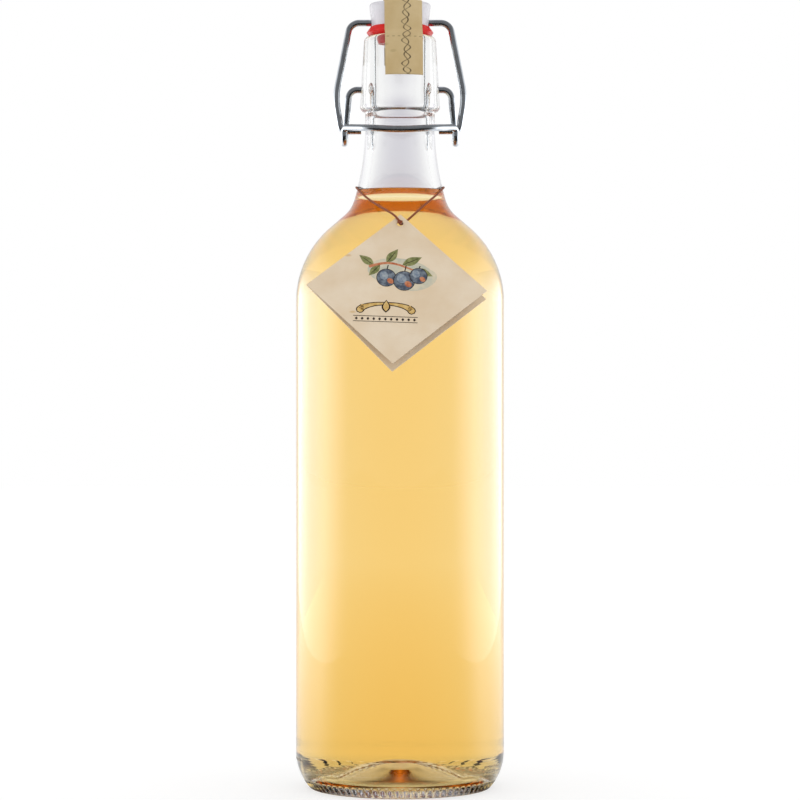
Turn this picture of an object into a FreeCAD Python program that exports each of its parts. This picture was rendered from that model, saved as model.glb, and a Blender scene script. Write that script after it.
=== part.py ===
"""A one-litre swing-top bottle of plum brandy, in millimetres, with its drink, its wire closure,
its paper seal and the folded tag that hangs from the neck on a string.

+Z is up and -Y is the front. The origin is the middle of the base, on the surface the bottle stands on.
"""

import FreeCAD, Part
import math
import os

import Sketcher

Vector = FreeCAD.Vector

# ---------------------------------------------------------------------------------------------
# Driving dimensions, in millimetres and degrees. Slopes are measured from the vertical.
# ---------------------------------------------------------------------------------------------
SIZES = {
    # glass body
    "body_radius": 42.25,
    "body_height": 215.4,  # floor to the sharp corner that the shoulder rounds off
    "body_wall": 3.4,
    "shoulder_slope": 49.4,
    "shoulder_round": 39.4,
    # heel and base
    "heel_inset": 5.9,  # from the body's side in to the bearing ring
    "heel_rise": 7.1,
    "heel_round": 21.0,
    "heel_round_inside": 13.0,
    "bearing_width": 1.8,
    "bearing_round": 1.8,
    "push_up_height": 7.4,
    "push_up_top_radius": 4.5,
    "push_up_foot_radius": 20.0,
    "push_up_foot_height": 1.6,
    "push_up_round": 7.0,
    "base_wall": 3.9,
    # neck and finish
    "neck_radius": 14.15,
    "neck_flare": 5.5,
    "neck_slope": 16.2,
    "neck_foot_round": 14.0,
    "neck_round": 104.0,
    "neck_length": 20.3,
    "bore_radius": 9.9,
    "bore_length": 28.5,
    "bore_foot_length": 5.5,
    "bore_foot_round": 9.0,
    "mouth_round": 0.7,
    "finish_height": 31.0,
    "bead_reach": 2.15,
    "bead_underside_rise": 1.0,
    "bead_round": 2.2,
    "bead_root_round": 1.1,
    "finish_taper": 1.8,
    "lip_round": 2.3,
    "fill_depth": 63.0,  # from the mouth down to the drink's surface
    # closure wires
    "wire_diameter": 2.7,
    "wire_clearance": 0.15,
    "pivot_drop": 21.7,  # from the mouth down to the lever's pivots
    "pivot_bite": 2.2,  # how far each pivot reaches into its dimple
    "dimple_clearance": 0.8,
    "lever_reach_top": 4.3,  # beyond the bead, at the pivots
    "lever_reach_side": 6.3,  # beyond the bead, at the loops
    "lever_drop": 21.8,  # from the pivots down to the loops' lowest point
    "lever_back": -0.1,  # of each loop's two legs, beyond the wire's thickness
    "lever_front": 1.2,
    "lever_bar_drop": 15.6,  # from the pivots down to the front bar's ends
    "lever_bar_sag": 2.1,
    "lever_bend": 3.6,
    "lever_loop_round": 2.95,
    "lever_elbow_round": 1.8,
    "lever_side": 0.65,  # from the neck's side in to the corner on each side of the bar
    "lever_side_reach": 0.4,  # that corner's reach in front of the neck
    "lever_side_round": 16.0,
    "lever_bar_reach": 4.0,
    "lever_bar_round": 24.0,
    "bail_seat": 0.25,  # from the ring's top up to the bail's cross wire
    "bail_reach_top": 3.9,  # beyond the bead, at the cross wire
    "bail_reach_knee": 9.9,
    "bail_reach_foot": 7.7,
    "bail_knee_drop": 30.4,
    "bail_hook_rise": 2.3,  # from the loops' wire up to the hooks'
    "bail_back": 0.9,
    "bail_bend": 4.5,
    "bail_knee_round": 28.0,
    "bail_hook_bend": 2.9,
    "bail_hook_tip": 0.5,  # from the bead's side in to each hook's end
    # stopper and its ring
    "head_radius": 12.6,
    "head_foot_radius": 11.5,
    "head_height": 9.4,
    "head_crown": 0.6,
    "head_round": 1.1,
    "stem_radius": 5.0,
    "button_radius": 6.4,
    "button_height": 1.5,
    "ring_thickness": 3.9,  # above the mouth
    "ring_top_radius": 11.9,
    "ring_radius": 13.6,
    "ring_tip_rise": 1.5,
    "ring_foot_radius": 12.6,
    "ring_depth": 3.8,  # down into the mouth
    "ring_cone_radius": 8.8,
    "ring_clearance": 0.1,
    # paper seal
    "seal_width": 15.2,
    "seal_thickness": 0.25,
    "seal_clearance": 0.1,
    "seal_length": 17.0,  # down the front of the glass, from the mouth
    "seal_back_length": 11.5,  # down its back
    "seal_turn": 7.0,
    # folded tag
    "tag_side": 49.7,
    "tag_thickness": 0.4,
    "tag_opening": 6.6,
    "tag_lean": 32.4,
    "tag_roll": -2.4,
    "tag_top_shift": 0.2,
    "tag_top_height": 15.1,  # of its top corner, above the shoulder's sharp corner
    "tag_seat": 0.3,
    "tag_hole_inset": 3.1,
    "tag_hole_radius": 1.3,
    "tag_fold_round": 0.6,
    # string
    "string_diameter": 0.9,
    "string_clearance": 0.15,
    "string_height": 28.5,  # of its loop, above the shoulder's sharp corner
    "string_dip": 10.4,  # how far the loop's front would hang lower
    "string_flare_turn": 33.0,  # where its strands leave the neck's flare, from the front
    "string_steps": 14,
    "knot_radius": 1.25,
    "knot_thickness": 1.6,
}

doc = FreeCAD.newDocument("swing_top_bottle")
sheet = doc.addObject("Spreadsheet::Sheet", "Sizes")
for row, (alias, number) in enumerate(SIZES.items(), start=1):
    sheet.set(f"A{row}", alias)
    sheet.set(f"B{row}", str(number))
    sheet.setAlias(f"B{row}", alias)
doc.recompute()


def cells(expression):
    """The expression with every alias written as a cell of the sheet."""
    words = []
    word = ""
    for letter in expression + " ":
        if letter.isalnum() or letter == "_":
            word += letter
            continue
        words.append(f"Sizes.{word}" if word in SIZES else word)
        words.append(letter)
        word = ""
    return "".join(words).strip()


def value(expression):
    """What an expression in the sheet's aliases comes to, as a plain number."""
    result = sheet.evalExpression(cells(expression))
    return float(getattr(result, "Value", result))


# ---------------------------------------------------------------------------------------------
# Heights and corners that several pieces share, as expressions in the sheet's aliases.
# ---------------------------------------------------------------------------------------------
NECK_FOOT_RADIUS = "(neck_radius + neck_flare)"
NECK_FOOT_HEIGHT = f"(body_height + (body_radius - {NECK_FOOT_RADIUS}) / tan(shoulder_slope))"
WAIST_HEIGHT = f"({NECK_FOOT_HEIGHT} + neck_flare / tan(neck_slope))"
BEAD_HEIGHT = f"({WAIST_HEIGHT} + neck_length)"
MOUTH_HEIGHT = f"({BEAD_HEIGHT} + finish_height)"
BEAD_RADIUS = "(neck_radius + bead_reach)"
LIP_RADIUS = f"({BEAD_RADIUS} - finish_taper)"
HEAD_FOOT_HEIGHT = f"({MOUTH_HEIGHT} + ring_thickness)"
BAIL_HEIGHT = f"({HEAD_FOOT_HEIGHT} + bail_seat + wire_diameter / 2)"
PIVOT_HEIGHT = f"({MOUTH_HEIGHT} - pivot_drop)"
LOOP_HEIGHT = f"({PIVOT_HEIGHT} - lever_drop)"


def half(angle):
    """The expression of half an angle."""
    return f"({angle}) / 2"


def inside_corner(radius, height, slope_below, slope_above, wall):
    """A corner of the outline moved in by the wall, square to both of its sides."""
    middle = f"({slope_below} + {slope_above}) / 2"
    spread = f"cos(({slope_below} - {slope_above}) / 2)"
    return (
        f"({radius} - {wall} * cos({middle}) / {spread})",
        f"({height} - {wall} * sin({middle}) / {spread})",
    )


# ---------------------------------------------------------------------------------------------
# Sketched profiles
# ---------------------------------------------------------------------------------------------
def plane_of(body, role):
    """One of the body's own origin planes or axes."""
    return next(f for f in body.Origin.OriginFeatures if f.Role == role)


def rounded(points, radii):
    """Where each straight run of a rounded chain of points starts and ends, and the middle of the
    tangent arc at each inner point, or None where the corner is sharp."""
    starts = [points[0]]
    ends = []
    arcs = []
    for i in range(1, len(points) - 1):
        back = (points[i - 1] - points[i]).normalize()
        ahead = (points[i + 1] - points[i]).normalize()
        turn = math.pi - back.getAngle(ahead)
        if not radii[i]:
            ends.append(points[i])
            starts.append(points[i])
            arcs.append(None)
            continue
        reach = radii[i] * math.tan(turn / 2)
        bisector = (back + ahead).normalize()
        centre = points[i] + bisector * (radii[i] / math.cos(turn / 2))
        ends.append(points[i] + back * reach)
        starts.append(points[i] + ahead * reach)
        arcs.append(centre - bisector * radii[i])
    ends.append(points[-1])
    return starts, ends, arcs


def profile_sketch(body, name, corners, plane="XZ_Plane"):
    """A closed outline in the body's plane, with straight sides between (name, across, up, round)
    corners. Each corner's place and round is a dimension bound to the sheet."""
    sketch = body.newObject("Sketcher::SketchObject", name)
    sketch.AttachmentSupport = (plane_of(body, plane), "")
    sketch.MapMode = "FlatFace"
    count = len(corners)
    points = [Vector(value(across), value(up), 0) for _, across, up, _ in corners]
    rounds = [value(rounding) if rounding else 0 for _, _, _, rounding in corners]
    chain = points + points[:2]
    starts, ends, middles = rounded(chain, rounds + rounds[:2])
    # ends[i] is where the side before corner i + 1 stops, and starts[i + 1] where the next begins.
    begin = {(i + 1) % count: starts[i + 1] for i in range(count)}
    stop = {(i + 1) % count: ends[i] for i in range(count)}
    middle = {(i + 1) % count: middles[i] for i in range(count)}
    sides = [
        sketch.addGeometry(Part.LineSegment(begin[i], stop[(i + 1) % count]), False)
        for i in range(count)
    ]
    bindings = []
    for i, (corner, across, up, rounding) in enumerate(corners):
        before, after = sides[i - 1], sides[i]
        if rounding:
            arc = sketch.addGeometry(
                Part.Arc(stop[i], middle[i], begin[i]), False
            )
            # An arc runs anticlockwise, so its first end may be either side's.
            first = sketch.getPoint(arc, 1)
            flip = first.distanceToPoint(stop[i]) > first.distanceToPoint(begin[i])
            near, far = (2, 1) if flip else (1, 2)
            sketch.addConstraint(Sketcher.Constraint("Tangent", before, 2, arc, near))
            sketch.addConstraint(Sketcher.Constraint("Tangent", arc, far, after, 1))
            sketch.addConstraint(Sketcher.Constraint("Radius", arc, rounds[i]))
            bindings.append((f"{corner}_round", rounding))
            sketch.renameConstraint(sketch.ConstraintCount - 1, f"{corner}_round")
            mark = sketch.addGeometry(Part.Point(points[i]), True)
            sketch.addConstraint(Sketcher.Constraint("PointOnObject", mark, 1, before))
            sketch.addConstraint(Sketcher.Constraint("PointOnObject", mark, 1, after))
            place = (mark, 1)
        else:
            sketch.addConstraint(Sketcher.Constraint("Coincident", before, 2, after, 1))
            place = (after, 1)
        for axis, expression, size, line in (
            ("DistanceX", across, points[i].x, -2),
            ("DistanceY", up, points[i].y, -1),
        ):
            if expression == "0":
                sketch.addConstraint(Sketcher.Constraint("PointOnObject", *place, line))
                continue
            sketch.addConstraint(Sketcher.Constraint(axis, -1, 1, *place, size))
            bindings.append((f"{corner}_{axis[-1].lower()}", expression))
            sketch.renameConstraint(sketch.ConstraintCount - 1, bindings[-1][0])
    for constraint, expression in bindings:
        sketch.setExpression(f"Constraints.{constraint}", cells(expression))
    return sketch


def turned_body(label, corners):
    """A body turned about the bottle's axis from its half outline."""
    body = doc.addObject("PartDesign::Body", label)
    body.Label = label
    sketch = profile_sketch(body, f"{label}_outline", corners)
    turn = body.newObject("PartDesign::Revolution", f"{label}_turned")
    turn.Profile = sketch
    turn.ReferenceAxis = (sketch, ["V_Axis"])
    turn.Angle = 360
    sketch.Visibility = False
    return body


def boolean(kind, label, base, tool):
    """base cut by or kept within tool."""
    result = doc.addObject(f"Part::{kind}", label)
    result.Base = base
    result.Tool = tool
    return result


# ---------------------------------------------------------------------------------------------
# Glass and drink
# ---------------------------------------------------------------------------------------------
def glass_blank():
    """The bottle's outer form, solid."""
    ring_outer = "body_radius - heel_inset"
    return turned_body(
        "glass_blank",
        [
            ("axis_foot", "0", "push_up_height", None),
            ("push_up_top", "push_up_top_radius", "push_up_height", "push_up_round"),
            ("push_up_foot", "push_up_foot_radius", "push_up_foot_height", "push_up_round"),
            ("ring_inner", f"{ring_outer} - bearing_width", "0", None),
            ("ring_outer", ring_outer, "0", "bearing_round"),
            ("heel", "body_radius", "heel_rise", "heel_round"),
            ("shoulder", "body_radius", "body_height", "shoulder_round"),
            ("neck_foot", NECK_FOOT_RADIUS, NECK_FOOT_HEIGHT, "neck_foot_round"),
            ("waist", "neck_radius", WAIST_HEIGHT, "neck_round"),
            ("bead_root", "neck_radius", BEAD_HEIGHT, "bead_root_round"),
            ("bead", BEAD_RADIUS, f"{BEAD_HEIGHT} + bead_underside_rise", "bead_round"),
            ("lip", LIP_RADIUS, MOUTH_HEIGHT, "lip_round"),
            ("axis_mouth", "0", MOUTH_HEIGHT, None),
        ],
    )


def cavity():
    """The hollow of the bottle, up through its mouth."""
    inside_radius = "body_radius - body_wall"
    shoulder = inside_corner("body_radius", "body_height", "0", "shoulder_slope", "body_wall")
    foot = inside_corner(
        NECK_FOOT_RADIUS, NECK_FOOT_HEIGHT, "shoulder_slope", "neck_slope", "body_wall"
    )
    waist = inside_corner("neck_radius", WAIST_HEIGHT, "neck_slope", "0", "body_wall")
    bore_foot = f"{MOUTH_HEIGHT} - bore_length"
    return turned_body(
        "cavity",
        [
            ("floor_axis", "0", "push_up_height + base_wall", None),
            ("hump", "push_up_top_radius", "push_up_height + base_wall", "push_up_round"),
            ("floor", "push_up_foot_radius", "push_up_foot_height + base_wall", "push_up_round"),
            ("heel", inside_radius, "push_up_foot_height + base_wall", "heel_round_inside"),
            ("shoulder", *shoulder, "shoulder_round - body_wall"),
            ("neck_foot", *foot, "neck_foot_round + body_wall"),
            ("waist", *waist, "neck_round + body_wall"),
            (
                "bore_flare",
                "neck_radius - body_wall",
                f"{bore_foot} - bore_foot_length",
                "bore_foot_round",
            ),
            ("bore_foot", "bore_radius", bore_foot, "bore_foot_round"),
            ("bore", "bore_radius", f"{MOUTH_HEIGHT} - mouth_round", None),
            ("mouth", "bore_radius + mouth_round", MOUTH_HEIGHT, None),
            ("above_mouth", "bore_radius + mouth_round", f"{MOUTH_HEIGHT} + mouth_round", None),
            ("above_axis", "0", f"{MOUTH_HEIGHT} + mouth_round", None),
        ],
    )


def dimple_cutter():
    """One rod across the finish, whose two ends leave the dimples that the lever pivots in."""
    rod = doc.addObject("Part::Cylinder", "dimple_rod")
    rod.setExpression("Radius", cells("wire_diameter / 2 + dimple_clearance"))
    rod.setExpression("Height", cells(f"2 * ({BEAD_RADIUS} + wire_diameter)"))
    rod.setExpression(
        "Placement", cells(
            f"create(<<placement>>; create(<<vector>>; -({BEAD_RADIUS} + wire_diameter); 0;"
            f" {MOUTH_HEIGHT} - pivot_drop); create(<<rotation>>; create(<<vector>>; 0; 1; 0); 90))"
        )
    )
    core = doc.addObject("Part::Cylinder", "dimple_floor")
    core.setExpression(
        "Radius", cells(f"{BEAD_RADIUS} - pivot_bite - dimple_clearance")
    )
    core.setExpression("Height", cells(f"{MOUTH_HEIGHT}"))
    return boolean("Cut", "dimples", rod, core)


def glass_and_drink():
    """The glass with its hollow and dimples, and the drink that fills it up to the level."""
    hollow = cavity()
    walls = boolean("Cut", "glass_walls", glass_blank(), hollow)
    glass = boolean("Cut", "glass_bottle", walls, dimple_cutter())
    below_level = doc.addObject("Part::Cylinder", "below_level")
    below_level.setExpression("Radius", cells("body_radius"))
    below_level.setExpression("Height", cells(f"{MOUTH_HEIGHT} - fill_depth"))
    drink = boolean("Common", "plum_brandy", hollow, below_level)
    return glass, drink


# ---------------------------------------------------------------------------------------------
# Stopper, ring and seal
# ---------------------------------------------------------------------------------------------
def stopper():
    """The white head with its stem and the button that holds the ring on, drilled for the bail."""
    button_foot = f"({MOUTH_HEIGHT} - ring_depth - button_height)"
    turned = turned_body(
        "stopper_turned",
        [
            ("foot_axis", "0", button_foot, None),
            ("button", "button_radius", button_foot, "button_height / 3"),
            ("button_top", "button_radius", f"{button_foot} + button_height - ring_clearance", None),
            ("stem_foot", "stem_radius", f"{button_foot} + button_height - ring_clearance", None),
            ("stem_top", "stem_radius", HEAD_FOOT_HEIGHT, None),
            ("head_foot", "head_foot_radius", HEAD_FOOT_HEIGHT, "head_round / 3"),
            ("head_rim", "head_radius", f"{HEAD_FOOT_HEIGHT} + head_height", "head_round"),
            ("crown", "0", f"{HEAD_FOOT_HEIGHT} + head_height + head_crown", None),
        ],
    )
    hole = doc.addObject("Part::Cylinder", "bail_hole")
    hole.setExpression("Radius", cells("wire_diameter / 2 + wire_clearance"))
    hole.setExpression("Height", cells("4 * head_radius"))
    hole.setExpression(
        "Placement", cells(
            "create(<<placement>>; create(<<vector>>; -2 * head_radius; 0;"
            f" {BAIL_HEIGHT}); create(<<rotation>>; create(<<vector>>; 0; 1; 0); 90))"
        )
    )
    return boolean("Cut", "stopper", turned, hole)


def seal_ring():
    """The red rubber ring, buttoned on the stem and seated on the mouth."""
    mouth = MOUTH_HEIGHT
    hole = "stem_radius + ring_clearance"
    return turned_body(
        "seal_ring",
        [
            ("hole_foot", hole, f"{mouth} - ring_depth", None),
            ("cone_foot", "ring_cone_radius", f"{mouth} - ring_depth", None),
            ("cone_top", "bore_radius - ring_clearance", mouth, None),
            ("foot", "ring_foot_radius", mouth, None),
            ("tip", "ring_radius", f"{mouth} + ring_tip_rise", None),
            ("top", "ring_top_radius", HEAD_FOOT_HEIGHT, None),
            ("hole_top", hole, HEAD_FOOT_HEIGHT, None),
        ],
    )


def seal_strip():
    """The paper strip over the closure: a band of a thin cap that follows head, ring and glass."""
    gap = "seal_clearance"
    paper = "seal_thickness"
    end_height = f"({MOUTH_HEIGHT} - seal_length)"
    side = "finish_taper / (finish_height - bead_underside_rise)"
    end_radius = f"({LIP_RADIUS} + seal_length * {side} + {gap})"
    rim_height = f"({HEAD_FOOT_HEIGHT} + head_height)"
    crown_height = f"({rim_height} + head_crown + {gap})"
    lip_height = f"({MOUTH_HEIGHT} + {gap})"
    ring_height = f"({MOUTH_HEIGHT} + ring_tip_rise)"
    lip_radius = f"({LIP_RADIUS} + {gap})"
    cap = turned_body(
        "seal_cap",
        [
            ("end", end_radius, end_height, None),
            ("end_outer", f"{end_radius} + {paper}", end_height, None),
            ("lip_outer", f"{lip_radius} + {paper}", lip_height, "lip_round"),
            ("ring_outer", f"ring_radius + {gap} + {paper}", ring_height, "lip_round"),
            (
                "rim_outer",
                f"head_radius + {gap} + {paper}",
                f"{rim_height} + {gap} + {paper}",
                "head_round + seal_thickness",
            ),
            ("crown_outer", "0", f"{crown_height} + {paper}", None),
            ("crown", "0", crown_height, None),
            ("rim", f"head_radius + {gap}", f"{rim_height} + {gap}", "head_round"),
            ("ring", f"ring_radius + {gap}", ring_height, "lip_round"),
            ("lip", lip_radius, lip_height, "lip_round"),
        ],
    )
    band = doc.addObject("Part::Box", "seal_band")
    band.setExpression("Length", cells("seal_width"))
    band.setExpression("Width", cells("4 * body_radius"))
    band.setExpression("Height", cells(f"2 * {MOUTH_HEIGHT}"))
    band.setExpression(
        "Placement", cells(
            "create(<<placement>>; create(<<vector>>; 0; 0; 0);"
            " create(<<rotation>>; create(<<vector>>; 0; 0; 1); seal_turn))"
            " * create(<<placement>>; create(<<vector>>; -seal_width / 2; -2 * body_radius; 0);"
            " create(<<rotation>>; create(<<vector>>; 0; 0; 1); 0))"
        )
    )
    whole = boolean("Common", "seal_whole", cap, band)
    below = doc.addObject("Part::Box", "seal_back_space")
    below.setExpression("Length", cells("4 * body_radius"))
    below.setExpression("Width", cells("2 * body_radius"))
    below.setExpression("Height", cells(f"{MOUTH_HEIGHT} - seal_back_length"))
    below.setExpression(
        "Placement",
        cells(
            "create(<<placement>>; create(<<vector>>; -2 * body_radius; 0; 0);"
            " create(<<rotation>>; create(<<vector>>; 0; 0; 1); 0))"
        ),
    )
    return boolean("Cut", "seal_strip", whole, below)


# ---------------------------------------------------------------------------------------------
# Wires and string
# ---------------------------------------------------------------------------------------------
def swept_wire(label, points, radii, diameter):
    """A round wire or cord along straight runs joined by tangent arcs, one solid."""
    starts, ends, middles = rounded(points, radii)
    edges = []
    for i, start in enumerate(starts):
        edges.append(Part.LineSegment(start, ends[i]).toShape())
        if i < len(middles) and middles[i] is not None:
            edges.append(Part.Arc(ends[i], middles[i], starts[i + 1]).toShape())
    path = doc.addObject("Part::Feature", f"{label}_path")
    path.Shape = Part.Wire(edges)
    section = doc.addObject("Part::Circle", f"{label}_section")
    section.setExpression("Radius", cells(f"{diameter} / 2"))
    section.Placement = FreeCAD.Placement(
        points[0], FreeCAD.Rotation(Vector(0, 0, 1), points[1] - points[0])
    )
    wire = doc.addObject("Part::Sweep", label)
    wire.Sections = [section]
    wire.Spine = (path, [f"Edge{i + 1}" for i in range(len(edges))])
    wire.Solid = True
    wire.Frenet = False
    lengths[label] = (path.Shape.Length, value(diameter))
    return wire


lengths = {}  # of each wire and cord, with its diameter


def lever():
    """The lower wire: its ends turn in the neck's dimples, its loops hold the bail's hooks, and its
    bar crosses in front of the neck."""
    pivot = value(PIVOT_HEIGHT)
    low = value(LOOP_HEIGHT)
    bar = pivot - value("lever_bar_drop")
    wide = value(f"{BEAD_RADIUS} + lever_reach_side")
    back, front = value("wire_diameter + lever_back"), -value("wire_diameter + lever_front")
    loop = value("lever_loop_round")
    side_reach = -value("neck_radius + lever_side_reach")
    side_bar = bar - value("lever_bar_sag") / 2
    middle_reach = -value("neck_radius + lever_bar_reach")
    half_path = [
        (Vector(value(f"{BEAD_RADIUS} - pivot_bite"), 0, pivot), 0),
        (Vector(value(f"{BEAD_RADIUS} + lever_reach_top"), 0, pivot), value("lever_bend")),
        (Vector(wide, back, low), loop),
        (Vector(wide, front, low), loop),
        (Vector(wide, front, bar), value("lever_elbow_round")),
        (Vector(value("neck_radius - lever_side"), side_reach, side_bar), value("lever_side_round")),
    ]
    middle = [(Vector(0, middle_reach, bar - value("lever_bar_sag")), value("lever_bar_round"))]
    left = [(Vector(-p.x, p.y, p.z), r) for p, r in half_path]
    chain = left + middle + half_path[::-1]
    return swept_wire("lever", [p for p, _ in chain], [r for _, r in chain], "wire_diameter")


def head_bail():
    """The upper wire: through the head, down both sides and hooked into the lever's loops."""
    top = value(BAIL_HEIGHT)
    foot = value(f"{LOOP_HEIGHT} + wire_diameter + bail_hook_rise")
    lean = -value("bail_back") / (top - foot)
    half_path = [
        (value(f"{BEAD_RADIUS} - bail_hook_tip"), foot, 0),
        (value(f"{BEAD_RADIUS} + bail_reach_foot"), foot, value("bail_hook_bend")),
        (
            value(f"{BEAD_RADIUS} + bail_reach_knee"),
            top - value("bail_knee_drop"),
            value("bail_knee_round"),
        ),
        (value(f"{BEAD_RADIUS} + bail_reach_top"), top, value("bail_bend")),
    ]
    left = [(Vector(-x, (top - z) * lean, z), r) for x, z, r in half_path]
    right = [(Vector(x, (top - z) * lean, z), r) for x, z, r in half_path[::-1]]
    chain = left + right
    return swept_wire("head_bail", [p for p, _ in chain], [r for _, r in chain], "wire_diameter")


# ---------------------------------------------------------------------------------------------
# Folded tag
# ---------------------------------------------------------------------------------------------
def tag_turn():
    """The turn that takes the tag's own frame, across, up and out of its front leaf, to the bottle's.
    In its own frame the tag hangs by its top corner, with its fold along +X and its leaf along +Y."""
    corner_down = FreeCAD.Rotation(Vector(0, 0, 1), -135 + value("tag_roll"))
    stand_up = FreeCAD.Rotation(Vector(1, 0, 0), 90 - value("tag_lean"))
    return stand_up.multiply(corner_down)


def tag_seat_depth(turn, top):
    """How far forward the top corner lies when the back leaf rests on the shoulder."""
    thick = value("tag_thickness")
    opening = math.radians(value("tag_opening"))
    centre_radius = value("body_radius - shoulder_round")
    centre_height = value("body_height - shoulder_round * tan(shoulder_slope / 2)")
    reach = value("shoulder_round + tag_seat")
    # The back face of the back leaf: through the fold, square to this normal, towards the glass.
    normal = turn.multVec(Vector(0, math.sin(-opening), -math.cos(opening)))
    on_face = turn.multVec(Vector(0, 0, -thick))
    flat = math.hypot(normal.x, normal.y)
    nearest = centre_radius * flat - centre_height * normal.z + reach
    # normal . p is the same all over the face, and equals minus nearest where it touches.
    rest = normal.x * top.x + normal.z * top.z + normal.dot(on_face)
    return (-nearest - rest) / normal.y


def tag_card():
    """Two square leaves joined at a fold, with one hole through both near the top corner."""
    body = doc.addObject("PartDesign::Body", "tag_card")
    body.Label = "tag_card"
    tilt = "(0 - tag_opening)"
    side, thick = "tag_side", "tag_thickness"
    far_across = f"{side} * cos({tilt})"
    far_up = f"{side} * sin({tilt})"
    sketch = profile_sketch(
        body,
        "tag_section",
        [
            ("fold_front", "0", thick, None),
            ("front_end", side, thick, None),
            ("front_inner", side, "0", None),
            ("crease", "tag_fold_round", "0", None),
            ("back_inner", far_across, far_up, None),
            (
                "back_end",
                f"{far_across} + {thick} * sin({tilt})",
                f"{far_up} - {thick} * cos({tilt})",
                None,
            ),
            ("fold_back", "0", f"0 - {thick}", None),
        ],
        plane="YZ_Plane",
    )
    pad = body.newObject("PartDesign::Pad", "tag_leaves")
    pad.Profile = sketch
    pad.setExpression("Length", cells(side))
    doc.recompute()
    punch = body.newObject("Sketcher::SketchObject", "tag_punch")
    punch.AttachmentSupport = (plane_of(body, "XY_Plane"), "")
    punch.MapMode = "FlatFace"
    inset = value("tag_hole_inset")
    circle = punch.addGeometry(
        Part.Circle(Vector(inset, inset, 0), Vector(0, 0, 1), value("tag_hole_radius")), False
    )
    for kind, name, expression in (
        ("DistanceX", "hole_x", "tag_hole_inset"),
        ("DistanceY", "hole_y", "tag_hole_inset"),
    ):
        punch.addConstraint(Sketcher.Constraint(kind, -1, 1, circle, 3, inset))
        punch.renameConstraint(punch.ConstraintCount - 1, name)
        punch.setExpression(f"Constraints.{name}", cells(expression))
    punch.addConstraint(Sketcher.Constraint("Radius", circle, value("tag_hole_radius")))
    punch.renameConstraint(punch.ConstraintCount - 1, "hole_radius")
    punch.setExpression("Constraints.hole_radius", cells("tag_hole_radius"))
    hole = body.newObject("PartDesign::Pocket", "tag_hole")
    hole.Profile = punch
    hole.Type = "ThroughAll"
    hole.Midplane = True
    turn = tag_turn()
    top = Vector(value("tag_top_shift"), 0, value("body_height + tag_top_height"))
    top.y = tag_seat_depth(turn, top)
    body.Placement = FreeCAD.Placement(top, turn)
    return body


def round_centre(radius, height, slope_below, slope_above, size):
    """The centre of a hollow round in the neck's outline, from its sharp corner."""
    middle = (slope_below + slope_above) / 2
    reach = size / math.cos((slope_below - slope_above) / 2)
    return radius + reach * math.cos(middle), height + reach * math.sin(middle)


def neck_surface(height):
    """The radius of the neck's outside at a height within its two hollow rounds."""
    steep, slight = math.radians(value("shoulder_slope")), math.radians(value("neck_slope"))
    foot = (value(NECK_FOOT_RADIUS), value(NECK_FOOT_HEIGHT))
    waist = (value("neck_radius"), value(WAIST_HEIGHT))
    foot_size, waist_size = value("neck_foot_round"), value("neck_round")
    foot_top = foot[1] + foot_size * math.tan((steep - slight) / 2) * math.cos(slight)
    if height < foot_top:
        centre, size = round_centre(*foot, steep, slight, foot_size), foot_size
    else:
        centre, size = round_centre(*waist, slight, 0, waist_size), waist_size
    return centre[0] - math.sqrt(size**2 - (centre[1] - height) ** 2)


def string_route(card):
    """The string's route: from the knot over the card's fold, up the left of the neck's flare,
    round the back of the neck, down the right and behind the card into the same hole."""
    place = card.Placement
    inset = value("tag_hole_inset")
    thick = value("tag_thickness")
    cord = value("string_diameter")
    reach = value("string_diameter / 2 + string_clearance")
    leaf_gap = inset * math.sin(math.radians(value("tag_opening")))
    at_knot = Vector(inset - cord / 2, inset - value("knot_radius + string_clearance"), thick + reach)
    over_fold = Vector(inset - cord, -cord, thick + reach)
    behind = Vector(inset, inset, -thick - leaf_gap - 1.5 * cord)
    in_hole = Vector(inset, inset, thick)
    first = math.radians(value("string_flare_turn"))
    steps = int(value("string_steps"))
    step = 2 * (math.pi - first) / steps
    loop_height = value("body_height + string_height")
    route = [place.multVec(at_knot), place.multVec(over_fold)]
    for i in range(steps + 1):
        turn = first + i * step
        height = loop_height - value("string_dip") * max(0, math.cos(turn)) ** 2
        radius = (neck_surface(height) + reach) / math.cos(step / 2)
        route.append(Vector(-radius * math.sin(turn), -radius * math.cos(turn), height))
    route += [place.multVec(behind), place.multVec(in_hole)]
    return route


def cord_radii(route):
    """The largest even rounds for a cord's route: 0.45 of the shorter run beside each corner."""
    radii = [0]
    for before, corner, after in zip(route, route[1:], route[2:]):
        runs = (corner - before, after - corner)
        half_turn = runs[0].getAngle(runs[1]) / 2
        radii.append(0.45 * min(run.Length for run in runs) / math.tan(half_turn))
    return radii + [0]


def tag_string(card):
    """The string, one round cord along its route."""
    route = string_route(card)
    radii = cord_radii(route)
    print("string corners:", [tuple(round(c, 2) for c in p) for p in route])
    print("string rounds:", [round(r, 1) for r in radii[1:-1]])
    return swept_wire("tag_string", route, radii, "string_diameter")


def tag_knot(card):
    """The knot at the hole's front that keeps the string from pulling through."""
    knot = doc.addObject("Part::Ellipsoid", "tag_knot")
    knot.setExpression("Radius1", cells("knot_thickness / 2"))
    knot.setExpression("Radius2", cells("knot_radius"))
    knot.setExpression("Radius3", cells("knot_radius"))
    inset = value("tag_hole_inset")
    centre = Vector(inset, inset, value("tag_thickness + knot_thickness / 2 + string_clearance"))
    knot.Placement = card.Placement.multiply(FreeCAD.Placement(centre, FreeCAD.Rotation()))
    return knot


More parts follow.
